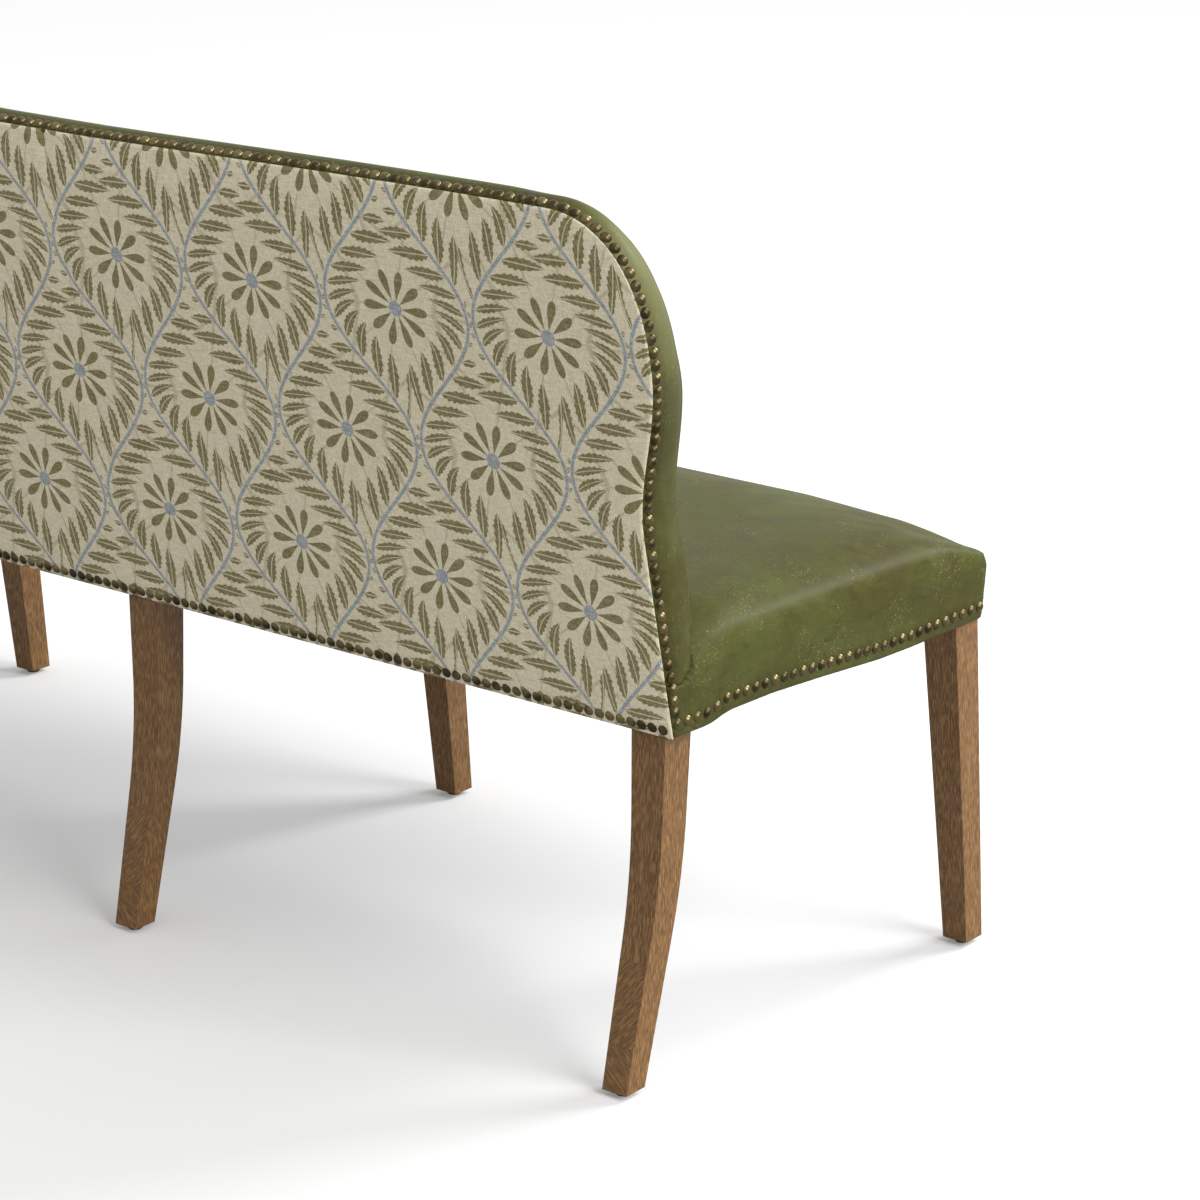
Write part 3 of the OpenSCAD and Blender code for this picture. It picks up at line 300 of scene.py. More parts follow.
# %% Printed linen: leaves and stems
LEAF, LEAF_HALF, LEAF_TILT, SHORT_LEAF, LEAF_ROOT = 42.0, 8.4, 0.75, 7.0, 2.0
LEAF_GAP = RISE * stretch / 15
TOOTH, TOOTH_DEEP = 1.1, 0.12
print_share = blue_share = None
for side, off, nearest in garlands:
    out = add(tree, "ShaderNodeMath", {0: off}, operation="ABSOLUTE")
    # A leaf climbs away from the stem, and one side of the stem is half a step ahead
    stagger = add(tree, "ShaderNodeMath", {0: off, 1: 0.0}, operation="GREATER_THAN")
    facing = add(tree, "ShaderNodeMath", {0: off}, operation="SIGN")
    facing = add(tree, "ShaderNodeMath", {0: facing, 1: sine}, operation="MULTIPLY")
    room = add(tree, "ShaderNodeMath", {0: facing, 1: -side * SWAY, 2: REPEAT / 4 - 4.0},
               operation="MULTIPLY_ADD")
    room = add(tree, "ShaderNodeClamp", {0: room, 1: SHORT_LEAF, 2: LEAF})
    reached = add(tree, "ShaderNodeMath", {0: nearest, 1: stretch}, operation="MULTIPLY")
    start = add(tree, "ShaderNodeMath", {0: stagger, 1: LEAF_GAP / 2, 2: reached},
                operation="MULTIPLY_ADD")
    climb = add(tree, "ShaderNodeMath", {0: out, 1: -LEAF_TILT, 2: start},
                operation="MULTIPLY_ADD")
    beside = add(tree, "ShaderNodeMath", {0: climb, 1: -LEAF_GAP / 2, 2: LEAF_GAP / 2},
                 operation="WRAP")
    beside = add(tree, "ShaderNodeMath", {0: beside}, operation="ABSOLUTE")
    share = add(tree, "ShaderNodeMapRange", {0: out, 1: LEAF_ROOT, 2: room})
    blade = add(tree, "ShaderNodeMath", {0: share, 1: 0.8}, operation="POWER")
    blade = add(tree, "ShaderNodeMath", {0: blade, 1: math.pi}, operation="MULTIPLY")
    blade = add(tree, "ShaderNodeMath", {0: blade}, operation="SINE")
    teeth = add(tree, "ShaderNodeMath", {0: out, 1: TOOTH}, operation="MULTIPLY")
    teeth = add(tree, "ShaderNodeMath", {0: teeth}, operation="SINE")
    teeth = add(tree, "ShaderNodeMath", {0: teeth, 1: TOOTH_DEEP, 2: 0.92},
                operation="MULTIPLY_ADD")
    width = add(tree, "ShaderNodeMath", {0: teeth, 1: blade}, operation="MULTIPLY")
    inside = add(tree, "ShaderNodeMath", {0: width, 1: LEAF_HALF}, operation="MULTIPLY")
    thrive = add(tree, "ShaderNodeMapRange", {0: room, 1: 0.0, 2: LEAF, 3: 0.25, 4: 1.0})
    inside = add(tree, "ShaderNodeMath", {0: inside, 1: thrive}, operation="MULTIPLY")
    inside = add(tree, "ShaderNodeMath", {0: inside, 1: beside}, operation="SUBTRACT")
    leaf = add(tree, "ShaderNodeMapRange", {0: inside, 1: -0.4, 2: 0.6})
    # The vein down the middle of each leaf is left unprinted
    vein = add(tree, "ShaderNodeMapRange", {0: beside, 1: 0.5, 2: 1.1, 3: 0.25, 4: 1.0})
    leaf = add(tree, "ShaderNodeMath", {0: leaf, 1: vein}, operation="MULTIPLY")
    print_share = leaf if print_share is None else add(
        tree, "ShaderNodeMath", {0: print_share, 1: leaf}, operation="MAXIMUM")
    stem = add(tree, "ShaderNodeMapRange", {0: out, 1: 2.4, 2: 1.4})
    blue_share = stem if blue_share is None else add(
        tree, "ShaderNodeMath", {0: blue_share, 1: stem}, operation="MAXIMUM")
print("print nodes:", len(tree.nodes))

# %% Printed linen: flowers
PETALS, FLOWER, PETAL_FROM, HEART = 10, 40.0, 7.0, 8.0
for x0, z0 in ((PRINT_AT, 0.25 * RISE), (PRINT_AT + REPEAT / 2, 0.75 * RISE)):
    dx = add(tree, "ShaderNodeMath", {0: across, 1: x0}, operation="SUBTRACT")
    dx = add(tree, "ShaderNodeMath", {0: dx, 1: -REPEAT / 2, 2: REPEAT / 2}, operation="WRAP")
    dz = add(tree, "ShaderNodeMath", {0: up, 1: z0}, operation="SUBTRACT")
    dz = add(tree, "ShaderNodeMath", {0: dz, 1: -RISE / 2, 2: RISE / 2}, operation="WRAP")
    spot = add(tree, "ShaderNodeCombineXYZ", {0: dx, 1: dz})
    radius = add(tree, "ShaderNodeVectorMath", {0: spot}, operation="LENGTH").outputs["Value"]
    angle = add(tree, "ShaderNodeMath", {0: dz, 1: dx}, operation="ARCTAN2")
    petal = add(tree, "ShaderNodeMath", {0: angle, 1: PETALS / 2}, operation="MULTIPLY")
    petal = add(tree, "ShaderNodeMath", {0: petal}, operation="COSINE")
    petal = add(tree, "ShaderNodeMath", {0: petal}, operation="ABSOLUTE")
    # A petal is widest two thirds of the way out, where the rim is furthest from the ray
    share = add(tree, "ShaderNodeMapRange", {0: radius, 1: PETAL_FROM, 2: FLOWER})
    blade = add(tree, "ShaderNodeMath", {0: share, 1: 1.3}, operation="POWER")
    blade = add(tree, "ShaderNodeMath", {0: blade, 1: math.pi}, operation="MULTIPLY")
    blade = add(tree, "ShaderNodeMath", {0: blade}, operation="SINE")
    need = add(tree, "ShaderNodeMath", {0: blade, 1: -0.34, 2: 1.0}, operation="MULTIPLY_ADD")
    inside = add(tree, "ShaderNodeMath", {0: petal, 1: need}, operation="SUBTRACT")
    flower = add(tree, "ShaderNodeMapRange", {0: inside, 1: -0.01, 2: 0.02})
    print_share = add(tree, "ShaderNodeMath", {0: print_share, 1: flower}, operation="MAXIMUM")
    heart = add(tree, "ShaderNodeMapRange", {0: radius, 1: HEART + 0.5, 2: HEART - 0.5})
    blue_share = add(tree, "ShaderNodeMath", {0: blue_share, 1: heart}, operation="MAXIMUM")
print("print nodes:", len(tree.nodes))

# %% Printed linen: threads
FINE, SLUB = 800.0, 110.0  # per metre: threads 1.25 mm apart, with slubs about 9 mm long
warp = add(tree, "ShaderNodeMapping", {"Vector": place, "Scale": (FINE, FINE, SLUB)})
weft = add(tree, "ShaderNodeMapping", {"Vector": place, "Scale": (SLUB, SLUB, FINE)})
warp_slub = add(tree, "ShaderNodeTexNoise", {"Vector": warp, "Scale": 1.0, "Detail": 1.0})
weft_slub = add(tree, "ShaderNodeTexNoise", {"Vector": weft, "Scale": 1.0, "Detail": 1.0})
TWILL = 3.2  # the diagonal rib of the weave, in mm
rib = add(tree, "ShaderNodeMath", {0: up, 1: 0.6, 2: across}, operation="MULTIPLY_ADD")
rib = add(tree, "ShaderNodeMath", {0: rib, 1: 2 * math.pi / TWILL}, operation="MULTIPLY")
rib = add(tree, "ShaderNodeMath", {0: rib}, operation="SINE")
threads = add(tree, "ShaderNodeMath", {0: warp_slub, 1: weft_slub}, operation="ADD")
threads = add(tree, "ShaderNodeMath", {0: rib, 1: 0.09, 2: threads}, operation="MULTIPLY_ADD")
print("threads:", len(tree.nodes), "nodes so far")

# %% Printed linen: colour
tint = add(tree, "ShaderNodeMapRange", {0: threads, 1: 0.64, 2: 1.36})
cloth, ink, blue = [
    add(tree, "ShaderNodeMix", {0: tint, 6: linear(low), 7: linear(high)}, data_type="RGBA")
    for low, high in (("#d0c5a5", "#f0e6ca"), ("#6c6238", "#8b8150"), ("#7d8690", "#b4babd"))]
worn = add(tree, "ShaderNodeMapRange", {0: threads, 1: 0.85, 2: 1.25, 3: 1.0, 4: 0.88})
print_share = add(tree, "ShaderNodeMath", {0: print_share, 1: worn}, operation="MULTIPLY")
blue_share = add(tree, "ShaderNodeMath", {0: blue_share, 1: worn}, operation="MULTIPLY")
face = add(tree, "ShaderNodeMix", {0: print_share, 6: cloth.outputs[2], 7: ink.outputs[2]},
           data_type="RGBA")
face = add(tree, "ShaderNodeMix", {0: blue_share, 6: face.outputs[2], 7: blue.outputs[2]},
           data_type="RGBA")
weave = add(tree, "ShaderNodeBump", {"Height": threads, "Strength": 0.35, "Distance": 0.0006})
linen = add(tree, "ShaderNodeBsdfPrincipled", {
    "Base Color": face.outputs[2], "Roughness": 0.86, "Normal": weave, "IOR": 1.5,
    "Sheen Weight": 0.12, "Sheen Roughness": 0.5})
add(tree, "ShaderNodeOutputMaterial", {"Surface": linen})
print("linen nodes:", len(tree.nodes))

# %% [markdown]
# ## Oak and beech
#
# The legs are oak, planed, wire brushed and limed: pale paste stays in the open pores and the
# rest is wiped off before a matt lacquer. So short light flecks, 0.8 mm wide and some 11 mm
# long, run with the grain over a warm brown. Real pores are finer, 0.3 mm at most, and these
# are as fine as the view shows. The noise is squeezed along the leg to draw them. The foot of
# each rear leg is built up of two blocks glued on before sawing the curve, and there the grain
# of its rear face runs aslant. The corners are eased with sandpaper, which the Bevel node
# rounds without new faces.

# %% Limed oak: grain
oak_finish, tree = new_finish("limed_oak")
place = add(tree, "ShaderNodeTexCoord").outputs["Object"]
axes = add(tree, "ShaderNodeSeparateXYZ", {0: place})
JOINTS = (0.052, 0.136)  # heights of the two glue lines, in metres
BLOCK_TURN = (math.radians(-52), math.radians(38))
REAR_LEGS_FROM, SQUARE_ON = 0.1, 0.6
at_rear = add(tree, "ShaderNodeMath", {0: axes.outputs[1], 1: REAR_LEGS_FROM},
              operation="GREATER_THAN")
normal = add(tree, "ShaderNodeNewGeometry").outputs["Normal"]
faces_y = add(tree, "ShaderNodeSeparateXYZ", {0: normal})
faces_y = add(tree, "ShaderNodeMath", {0: faces_y.outputs[1]}, operation="ABSOLUTE")
faces_y = add(tree, "ShaderNodeMath", {0: faces_y, 1: SQUARE_ON}, operation="GREATER_THAN")
sawn_face = add(tree, "ShaderNodeMath", {0: faces_y, 1: at_rear}, operation="MULTIPLY")
aslant = place
for joint, angle in zip(JOINTS[::-1], BLOCK_TURN[::-1]):
    below = add(tree, "ShaderNodeMath", {0: axes.outputs[2], 1: joint}, operation="LESS_THAN")
    block = add(tree, "ShaderNodeMath", {0: below, 1: sawn_face}, operation="MULTIPLY")
    turned = add(tree, "ShaderNodeMapping", {"Vector": place, "Rotation": (0.0, angle, 0.0)})
    mixed = add(tree, "ShaderNodeMix", {0: block, 4: aslant, 5: turned}, data_type="VECTOR")
    aslant = mixed.outputs[1]
# On a face sawn along the curve the pores are cut lengthwise, so y hardly counts there
flat_y = add(tree, "ShaderNodeMapping", {"Vector": aslant, "Scale": (1.0, 0.12, 1.0)})
mixed = add(tree, "ShaderNodeMix", {0: faces_y, 4: aslant, 5: flat_y}, data_type="VECTOR")
along_grain = add(tree, "ShaderNodeMapping", {"Vector": mixed.outputs[1],
                                              "Scale": (1.0, 1.0, 0.075)})
figure = add(tree, "ShaderNodeTexNoise", {"Vector": along_grain, "Scale": PER_METRE / 12,
                                          "Detail": 5.0, "Roughness": 0.65,
                                          "Distortion": 0.3})
pore = add(tree, "ShaderNodeTexNoise", {"Vector": along_grain, "Scale": PER_METRE / 0.8,
                                        "Detail": 1.0, "Roughness": 0.5})
print("oak joints at", JOINTS, "m")

# %% Limed oak: colour
figure_share = add(tree, "ShaderNodeMapRange", {0: figure, 1: 0.3, 2: 0.72})
wood = add(tree, "ShaderNodeMix", {0: figure_share, 6: linear("#5c3c18"), 7: linear("#65431d")},
           data_type="RGBA")
pore_share = add(tree, "ShaderNodeMapRange", {0: pore, 1: 0.46, 2: 0.64, 4: 0.66})
wood = add(tree, "ShaderNodeMix", {0: pore_share, 6: wood.outputs[2], 7: linear("#a8804a")},
           data_type="RGBA")
line = None
for joint in JOINTS:
    gap = add(tree, "ShaderNodeMath", {0: axes.outputs[2], 1: joint}, operation="SUBTRACT")
    gap = add(tree, "ShaderNodeMath", {0: gap}, operation="ABSOLUTE")
    thin = add(tree, "ShaderNodeMapRange", {0: gap, 1: 0.0007, 2: 0.0003, 4: 0.45})
    thin = add(tree, "ShaderNodeMath", {0: thin, 1: sawn_face}, operation="MULTIPLY")
    line = thin if line is None else add(tree, "ShaderNodeMath", {0: line, 1: thin},
                                         operation="MAXIMUM")
wood = add(tree, "ShaderNodeMix", {0: line, 6: wood.outputs[2], 7: linear("#3e2a18")},
           data_type="RGBA")
eased = add(tree, "ShaderNodeBevel", {"Radius": 0.0016}, samples=6)
open_pore = add(tree, "ShaderNodeBump", {"Height": pore, "Strength": 0.25, "Distance": 0.0004,
                                         "Normal": eased})
oak = add(tree, "ShaderNodeBsdfPrincipled", {
    "Base Color": wood.outputs[2], "Roughness": 0.55, "Normal": open_pore, "IOR": 1.5})
add(tree, "ShaderNodeOutputMaterial", {"Surface": oak})
print("oak nodes:", len(tree.nodes))

# %% [markdown]
# The frame inside is beech: pale, hard, close grained, and left as it came from the saw. Its
# figure is noise drawn out along the bench, the way most rails run. Saw marks are about 3 mm
# apart, and a wave texture draws them. Its bands come 2 pi times as far apart, about 19 mm,
# which is coarse, but no rail shows from outside.

# %% Sawn beech
beech_finish, tree = new_finish("sawn_beech")
place = add(tree, "ShaderNodeTexCoord").outputs["Object"]
long_grain = add(tree, "ShaderNodeMapping", {"Vector": place, "Scale": (0.08, 1.0, 1.0)})
figure = add(tree, "ShaderNodeTexNoise", {"Vector": long_grain, "Scale": PER_METRE / 6,
                                          "Detail": 4.0})
wood = add(tree, "ShaderNodeMix", {0: figure, 6: linear("#b8946a"), 7: linear("#d9bb8e")},
           data_type="RGBA")
WAVES = 20  # a wave texture of scale 1 draws a band every 2 pi / 20 of a metre
saw_marks = add(tree, "ShaderNodeTexWave", {"Vector": place, "Scale": PER_METRE / 3 / WAVES,
                                            "Distortion": 1.0}, bands_direction="X")
cut = add(tree, "ShaderNodeBump", {"Height": saw_marks, "Strength": 0.15, "Distance": 0.0004})
beech = add(tree, "ShaderNodeBsdfPrincipled", {
    "Base Color": wood.outputs[2], "Roughness": 0.7, "Normal": cut, "IOR": 1.5})
add(tree, "ShaderNodeOutputMaterial", {"Surface": beech})
print("beech nodes:", len(tree.nodes))

# %% [markdown]
# ## Nails, glides, webbing and the rest
#
# The nails are antiqued brass: plated steel domes, dipped dark and then rubbed, so the tops
# shine a little and a brown film stays, thicker on some nails than on others. Brass is a
# metal, so its colour is that of its reflection, and its IOR stays as it is. The screws are
# zinc plated, with faint spangles of about 4 mm, and the glides are moulded nylon.

# %% Antiqued brass
brass_finish, tree = new_finish("antiqued_brass")
place = add(tree, "ShaderNodeTexCoord").outputs["Object"]
film = add(tree, "ShaderNodeTexNoise", {"Vector": place, "Scale": PER_METRE / 22, "Detail": 2.0})
film_share = add(tree, "ShaderNodeMapRange", {0: film, 1: 0.4, 2: 0.62})
tone = add(tree, "ShaderNodeMix", {0: film_share, 6: linear("#3c3423"), 7: linear("#6a5e41")},
           data_type="RGBA")
polish = add(tree, "ShaderNodeMapRange", {0: film, 1: 0.35, 2: 0.65, 3: 0.4, 4: 0.27})
brass = add(tree, "ShaderNodeBsdfPrincipled", {
    "Base Color": tone.outputs[2], "Metallic": 1.0, "Roughness": polish})
add(tree, "ShaderNodeOutputMaterial", {"Surface": brass})
print("brass nodes:", len(tree.nodes))

# %% Plated steel
steel_finish, tree = new_finish("plated_steel")
place = add(tree, "ShaderNodeTexCoord").outputs["Object"]
spangle = add(tree, "ShaderNodeTexVoronoi", {"Vector": place, "Scale": PER_METRE / 4})
sheen = add(tree, "ShaderNodeMapRange", {0: spangle, 3: 0.28, 4: 0.42})
steel = add(tree, "ShaderNodeBsdfPrincipled", {
    "Base Color": linear("#b4b5b6"), "Metallic": 1.0, "Roughness": sheen})
add(tree, "ShaderNodeOutputMaterial", {"Surface": steel})
print("steel nodes:", len(tree.nodes))

# %% Moulded plastic glides
glide_finish, tree = new_finish("moulded_nylon")
place = add(tree, "ShaderNodeTexCoord").outputs["Object"]
rub = add(tree, "ShaderNodeTexNoise", {"Vector": place, "Scale": PER_METRE / 3, "Detail": 3.0})
tone = add(tree, "ShaderNodeMix", {0: rub, 6: linear("#33251b"), 7: linear("#4a3727")},
           data_type="RGBA")
fine = add(tree, "ShaderNodeBump", {"Height": rub, "Strength": 0.1, "Distance": 0.0003})
nylon = add(tree, "ShaderNodeBsdfPrincipled", {
    "Base Color": tone.outputs[2], "Roughness": 0.45, "Normal": fine, "IOR": 1.53})
add(tree, "ShaderNodeOutputMaterial", {"Surface": nylon})
print("nylon nodes:", len(tree.nodes))

# %% [markdown]
# Elastic webbing has a slanting rib about every 3 mm. Hessian is an open weave of jute with a
# thread about every 2 mm, drawn as two sets of bands that cross at right angles. Like the saw
# marks, both are drawn some 2 pi times as coarse, inside the bench, where nobody sees them.
# The black cloth under the seat isn't woven but spun bonded, a felt of fine fibres with
# pressed dots, and the wadding is a loose felt of polyester with tufts of about 8 mm.

# %% Elastic webbing
webbing_finish, tree = new_finish("elastic_webbing")
place = add(tree, "ShaderNodeTexCoord").outputs["Object"]
ribs = add(tree, "ShaderNodeTexWave", {"Vector": place, "Scale": PER_METRE / 3 / WAVES},
           bands_direction="DIAGONAL")
tone = add(tree, "ShaderNodeMix",
           {0: ribs.outputs["Fac"], 6: linear("#24221f"), 7: linear("#45413b")},
           data_type="RGBA")
rib = add(tree, "ShaderNodeBump", {"Height": ribs.outputs["Fac"], "Strength": 0.4,
                                   "Distance": 0.0006})
webbing = add(tree, "ShaderNodeBsdfPrincipled", {
    "Base Color": tone.outputs[2], "Roughness": 0.8, "Normal": rib, "IOR": 1.5})
add(tree, "ShaderNodeOutputMaterial", {"Surface": webbing})
print("webbing nodes:", len(tree.nodes))

# %% Hessian
hessian_finish, tree = new_finish("jute_hessian")
place = add(tree, "ShaderNodeTexCoord").outputs["Object"]
weft = add(tree, "ShaderNodeTexWave", {"Vector": place, "Scale": PER_METRE / 2 / WAVES,
                                       "Distortion": 0.6}, bands_direction="X")
warp = add(tree, "ShaderNodeTexWave", {"Vector": place, "Scale": PER_METRE / 2 / WAVES,
                                       "Distortion": 0.6}, bands_direction="Z")
mesh_fac = add(tree, "ShaderNodeMath", {0: weft.outputs["Fac"], 1: warp.outputs["Fac"]},
               operation="MULTIPLY")
tone = add(tree, "ShaderNodeMix", {0: mesh_fac, 6: linear("#8a7048"), 7: linear("#c9ae80")},
           data_type="RGBA")
thread = add(tree, "ShaderNodeBump", {"Height": mesh_fac, "Strength": 0.6, "Distance": 0.0006})
jute = add(tree, "ShaderNodeBsdfPrincipled", {
    "Base Color": tone.outputs[2], "Roughness": 0.9, "Normal": thread, "IOR": 1.5})
add(tree, "ShaderNodeOutputMaterial", {"Surface": jute})
print("hessian nodes:", len(tree.nodes))

# %% Black spun-bonded cloth
dust_finish, tree = new_finish("black_spunbond")
place = add(tree, "ShaderNodeTexCoord").outputs["Object"]
dots = add(tree, "ShaderNodeTexVoronoi", {"Vector": place, "Scale": PER_METRE / 2.5,
                                          "Randomness": 0.15})
fibre = add(tree, "ShaderNodeTexNoise", {"Vector": place, "Scale": PER_METRE / 1.2, "Detail": 4.0,
                                         "Distortion": 2.0})
tone = add(tree, "ShaderNodeMix", {0: fibre, 6: linear("#171615"), 7: linear("#33312e")},
           data_type="RGBA")
pressed = add(tree, "ShaderNodeBump", {"Height": dots, "Strength": 0.3, "Distance": 0.0004})
spunbond = add(tree, "ShaderNodeBsdfPrincipled", {
    "Base Color": tone.outputs[2], "Roughness": 0.85, "Normal": pressed, "IOR": 1.5})
add(tree, "ShaderNodeOutputMaterial", {"Surface": spunbond})
print("spunbond nodes:", len(tree.nodes))

# %% Polyester wadding
wadding_finish, tree = new_finish("polyester_wadding")
place = add(tree, "ShaderNodeTexCoord").outputs["Object"]
tuft = add(tree, "ShaderNodeTexNoise", {"Vector": place, "Scale": PER_METRE / 8, "Detail": 6.0})
tone = add(tree, "ShaderNodeMix", {0: tuft, 6: linear("#dcd8cb"), 7: linear("#f1eee4")},
           data_type="RGBA")
loft = add(tree, "ShaderNodeBump", {"Height": tuft, "Strength": 0.6, "Distance": 0.002})
wadding = add(tree, "ShaderNodeBsdfPrincipled", {
    "Base Color": tone.outputs[2], "Roughness": 0.95, "Normal": loft, "IOR": 1.5})
add(tree, "ShaderNodeOutputMaterial", {"Surface": wadding})
print("wadding nodes:", len(tree.nodes))

# %% [markdown]
# ## Finishes for the CAD nodes that stay
#
# Legs, rails, blocks, straps, nails and glides have the right shape already. Each gets its
# material by assigning to the slot of its own mesh.

# %% Dress the CAD nodes
OAK = ["rear_leg_left", "rear_leg_centre", "rear_leg_right",
       "front_leg_left", "front_leg_centre", "front_leg_right"]
BEECH = ["front_rail_left", "front_rail_right", "rear_rail_left", "rear_rail_right",
         "side_rail_left", "side_rail_right", "centre_rail", "rail_dowels", "corner_blocks",
         "back_corner_left", "back_corner_right", "back_top_rail", "back_lower_rail_left",
         "back_lower_rail_right", "back_dowels"]
BRASS = ["nails_back_edge", "nails_rear_bottom", "nails_side_left", "nails_side_right",
         "nails_front"]
WEBBING = ["seat_webbing_cross", "seat_webbing_long", "back_webbing_upright",
           "back_webbing_long"]
dressing = [(OAK, oak_finish), (BEECH, beech_finish), (BRASS, brass_finish),
            (WEBBING, webbing_finish), (["glides"], glide_finish),
            (["block_screws"], steel_finish), (["seat_hessian", "back_hessian"], hessian_finish)]
for names, finish in dressing:
    for name in names:
        mesh = nodes[name].data
        mesh.materials.clear()
        mesh.materials.append(finish)
    print(finish.name, "on", len(names), "nodes")

# %% [markdown]
# ## The shape of the back and the seat
#
# The soft pieces follow the same lines as the frame, so those lines are written again here in
# millimetres: how far the rear surface leans at each height, how wide the back is, and how the
# seat spreads toward the front.

# %% Lines of the back
BACK_WIDTH, BENCH_DEPTH, BACK_HEIGHT, SEAT_HEIGHT, UNDER_Z = 1516.0, 634.0, 900.0, 489.0, 370.0
RAKE, TOP_RAKE, BACK_EASE = math.radians(12.5), math.radians(6.0), 116.0
BAND, BACK_THICK, TOP_SWELL, CORNER_RISE = 46.0, 68.0, 5.5, 6.0
SIDE_FLARE, FLARE_HEIGHT, FLARE_GAP = 38.0, 185.0, 10.0
CORNER_W, CORNER_H, FULLNESS = 108.0, 126.0, 2.2
BACK_HX = BACK_WIDTH / 2
REAR_HALF = BACK_HX - SIDE_FLARE
EASE_Z = BACK_HEIGHT - BACK_EASE
EASE_RADIUS = BACK_EASE / (math.sin(RAKE) - math.sin(TOP_RAKE))
FLARE_END = BACK_HEIGHT - CORNER_H - FLARE_GAP
FLARE_START = FLARE_END - FLARE_HEIGHT


def lean(z):
    """How far the rear surface leans back at a height: straight, then eased toward the top."""
    z = np.minimum(z, BACK_HEIGHT + 20)
    angle = np.arcsin(np.clip(math.sin(RAKE) - (z - EASE_Z) / EASE_RADIUS, -1, 1))
    eased = (EASE_Z - UNDER_Z) * math.tan(RAKE) + EASE_RADIUS * (np.cos(angle) - math.cos(RAKE))
    return np.where(z <= EASE_Z, (z - UNDER_Z) * math.tan(RAKE), eased)


BASE_Y = BENCH_DEPTH / 2 - float(lean(BACK_HEIGHT))


def rear_y(z):
    """Where the rear surface of the back is at a height."""
    return BASE_Y + lean(np.asarray(z, float))


def back_half(z):
    """Half the width of the back at a height, below its rounded corners."""
    t = np.clip((np.asarray(z, float) - FLARE_START) / (FLARE_END - FLARE_START), 0, 1)
    return REAR_HALF + (BACK_HX - REAR_HALF) * (0.5 - 0.5 * np.cos(np.pi * t))


def along(points, shares):
    """Points of a line of points at given shares of its length."""
    points = np.array(points, float)
    reached = np.r_[0, np.cumsum(np.linalg.norm(np.diff(points, axis=0), axis=1))]
    steps = np.asarray(shares) * reached[-1]
    return np.stack([np.interp(steps, reached, points[:, k]) for k in range(points.shape[1])], 1)


def back_side(bottom):
    """The right-hand outline of the back, from its bottom to the middle of its top."""
    side = [(float(back_half(z)), z) for z in np.linspace(bottom, FLARE_END, 40)]
    corner = [(BACK_HX - CORNER_W + CORNER_W * max(0, math.cos(a)) ** (2 / FULLNESS),
               BACK_HEIGHT - CORNER_H + CORNER_H * math.sin(a) ** (2 / FULLNESS))
              for a in np.linspace(0, math.pi / 2, 40)]
    flat = BACK_HX - CORNER_W
    top = [(flat * s, BACK_HEIGHT - CORNER_RISE * (1 - r))
           for s, r in ((0.86, 1), (0.73, 0.93), (0.6, 0.8), (0.48, 0.61), (0.35, 0.4),
                        (0.22, 0.16), (0.1, 0), (0, 0))]
    return side + corner + top


print("rear surface at the bottom and the top:", round(float(rear_y(UNDER_Z)), 1),
      round(float(rear_y(BACK_HEIGHT)), 1))

# %% Lines of the seat
SEAT_SPREAD, FRONT_SPLAY, COVER_STAND, SEAT_SWELL = 29.0, 32.0, 5.0, 3.0
FRAME_FRONT = BENCH_DEPTH / 2 - FRONT_SPLAY
SEAT_FRONT_Y = -(FRAME_FRONT + COVER_STAND)
SEAT_REAR_Y = BASE_Y
SEAT_HX = REAR_HALF + SEAT_SPREAD
RAIL_TOP = UNDER_Z + 64.0
EDGE_Z = SEAT_HEIGHT - 28.0
HEM_SHARE = [0, 0.085, 0.115, 0.145, 0.175, 0.3, 0.45, 0.64, 0.75, 1]
HEM_RISE = [4, 4, 5.2, 9, 11.2, 12, 9, 4, 4, 7]


def seat_half(y):
    """Half the width of the seat, from its front edge to its rear."""
    return SEAT_HX + (REAR_HALF - SEAT_HX) * (y - SEAT_FRONT_Y) / (SEAT_REAR_Y - SEAT_FRONT_Y)


def seat_bulge(z):
    """How far the seat's sides swell at a height."""
    rise = np.minimum((z - UNDER_Z) / (RAIL_TOP - UNDER_Z), (EDGE_Z - z) / (EDGE_Z - RAIL_TOP))
    return SEAT_SWELL * np.maximum(0, rise)


def hem(y):
    """The height of the leather's bottom edge along the side."""
    share = (SEAT_REAR_Y - y) / (SEAT_REAR_Y - SEAT_FRONT_Y)
    return UNDER_Z + np.interp(share, HEM_SHARE, HEM_RISE)


print("seat is", round(2 * float(seat_half(SEAT_FRONT_Y))), "mm wide at the front and",
      round(2 * REAR_HALF), "mm at the rear")

# %% [markdown]
# ## How a cushion is skinned
#
# A cushion's skin is a stack of rings. Each ring is the outline, drawn in a little further
# and set at the height of the crown there, so its quads run parallel to the seams, as the
# leather is pulled. The last ring is so narrow that its two long sides are zipped together.
# A ring mesh bends well in a cloth simulation, and needs no remeshing that would lose seams.


# %% Rings into a mesh
def new_piece(name, points, faces, finish):
    """A smooth piece from points in millimetres, with one finish."""
    mesh = bpy.data.meshes.new(name)
    mesh.from_pydata((np.asarray(points) / 1000).tolist(), [], faces)
    mesh.update()
    mesh.shade_smooth()
    mesh.materials.append(finish)
    piece = bpy.data.objects.new(name, mesh)
    scene.collection.objects.link(piece)
    return piece


def ring_faces(rings, around):
    """Quads between neighbouring rings, and a zip across the last."""
    faces = []
    for k in range(rings - 1):
        a, b = k * around, (k + 1) * around
        faces += [(a + i, a + (i + 1) % around, b + (i + 1) % around, b + i)
                  for i in range(around)]
    last, half = (rings - 1) * around, around // 2
    faces += [(last + i, last + i + 1, last + around - i - 1, last + around - i)
              for i in range(1, half - 1)]
    faces += [(last, last + 1, last + around - 1), (last + half - 1, last + half, last + half + 1)]
    return faces


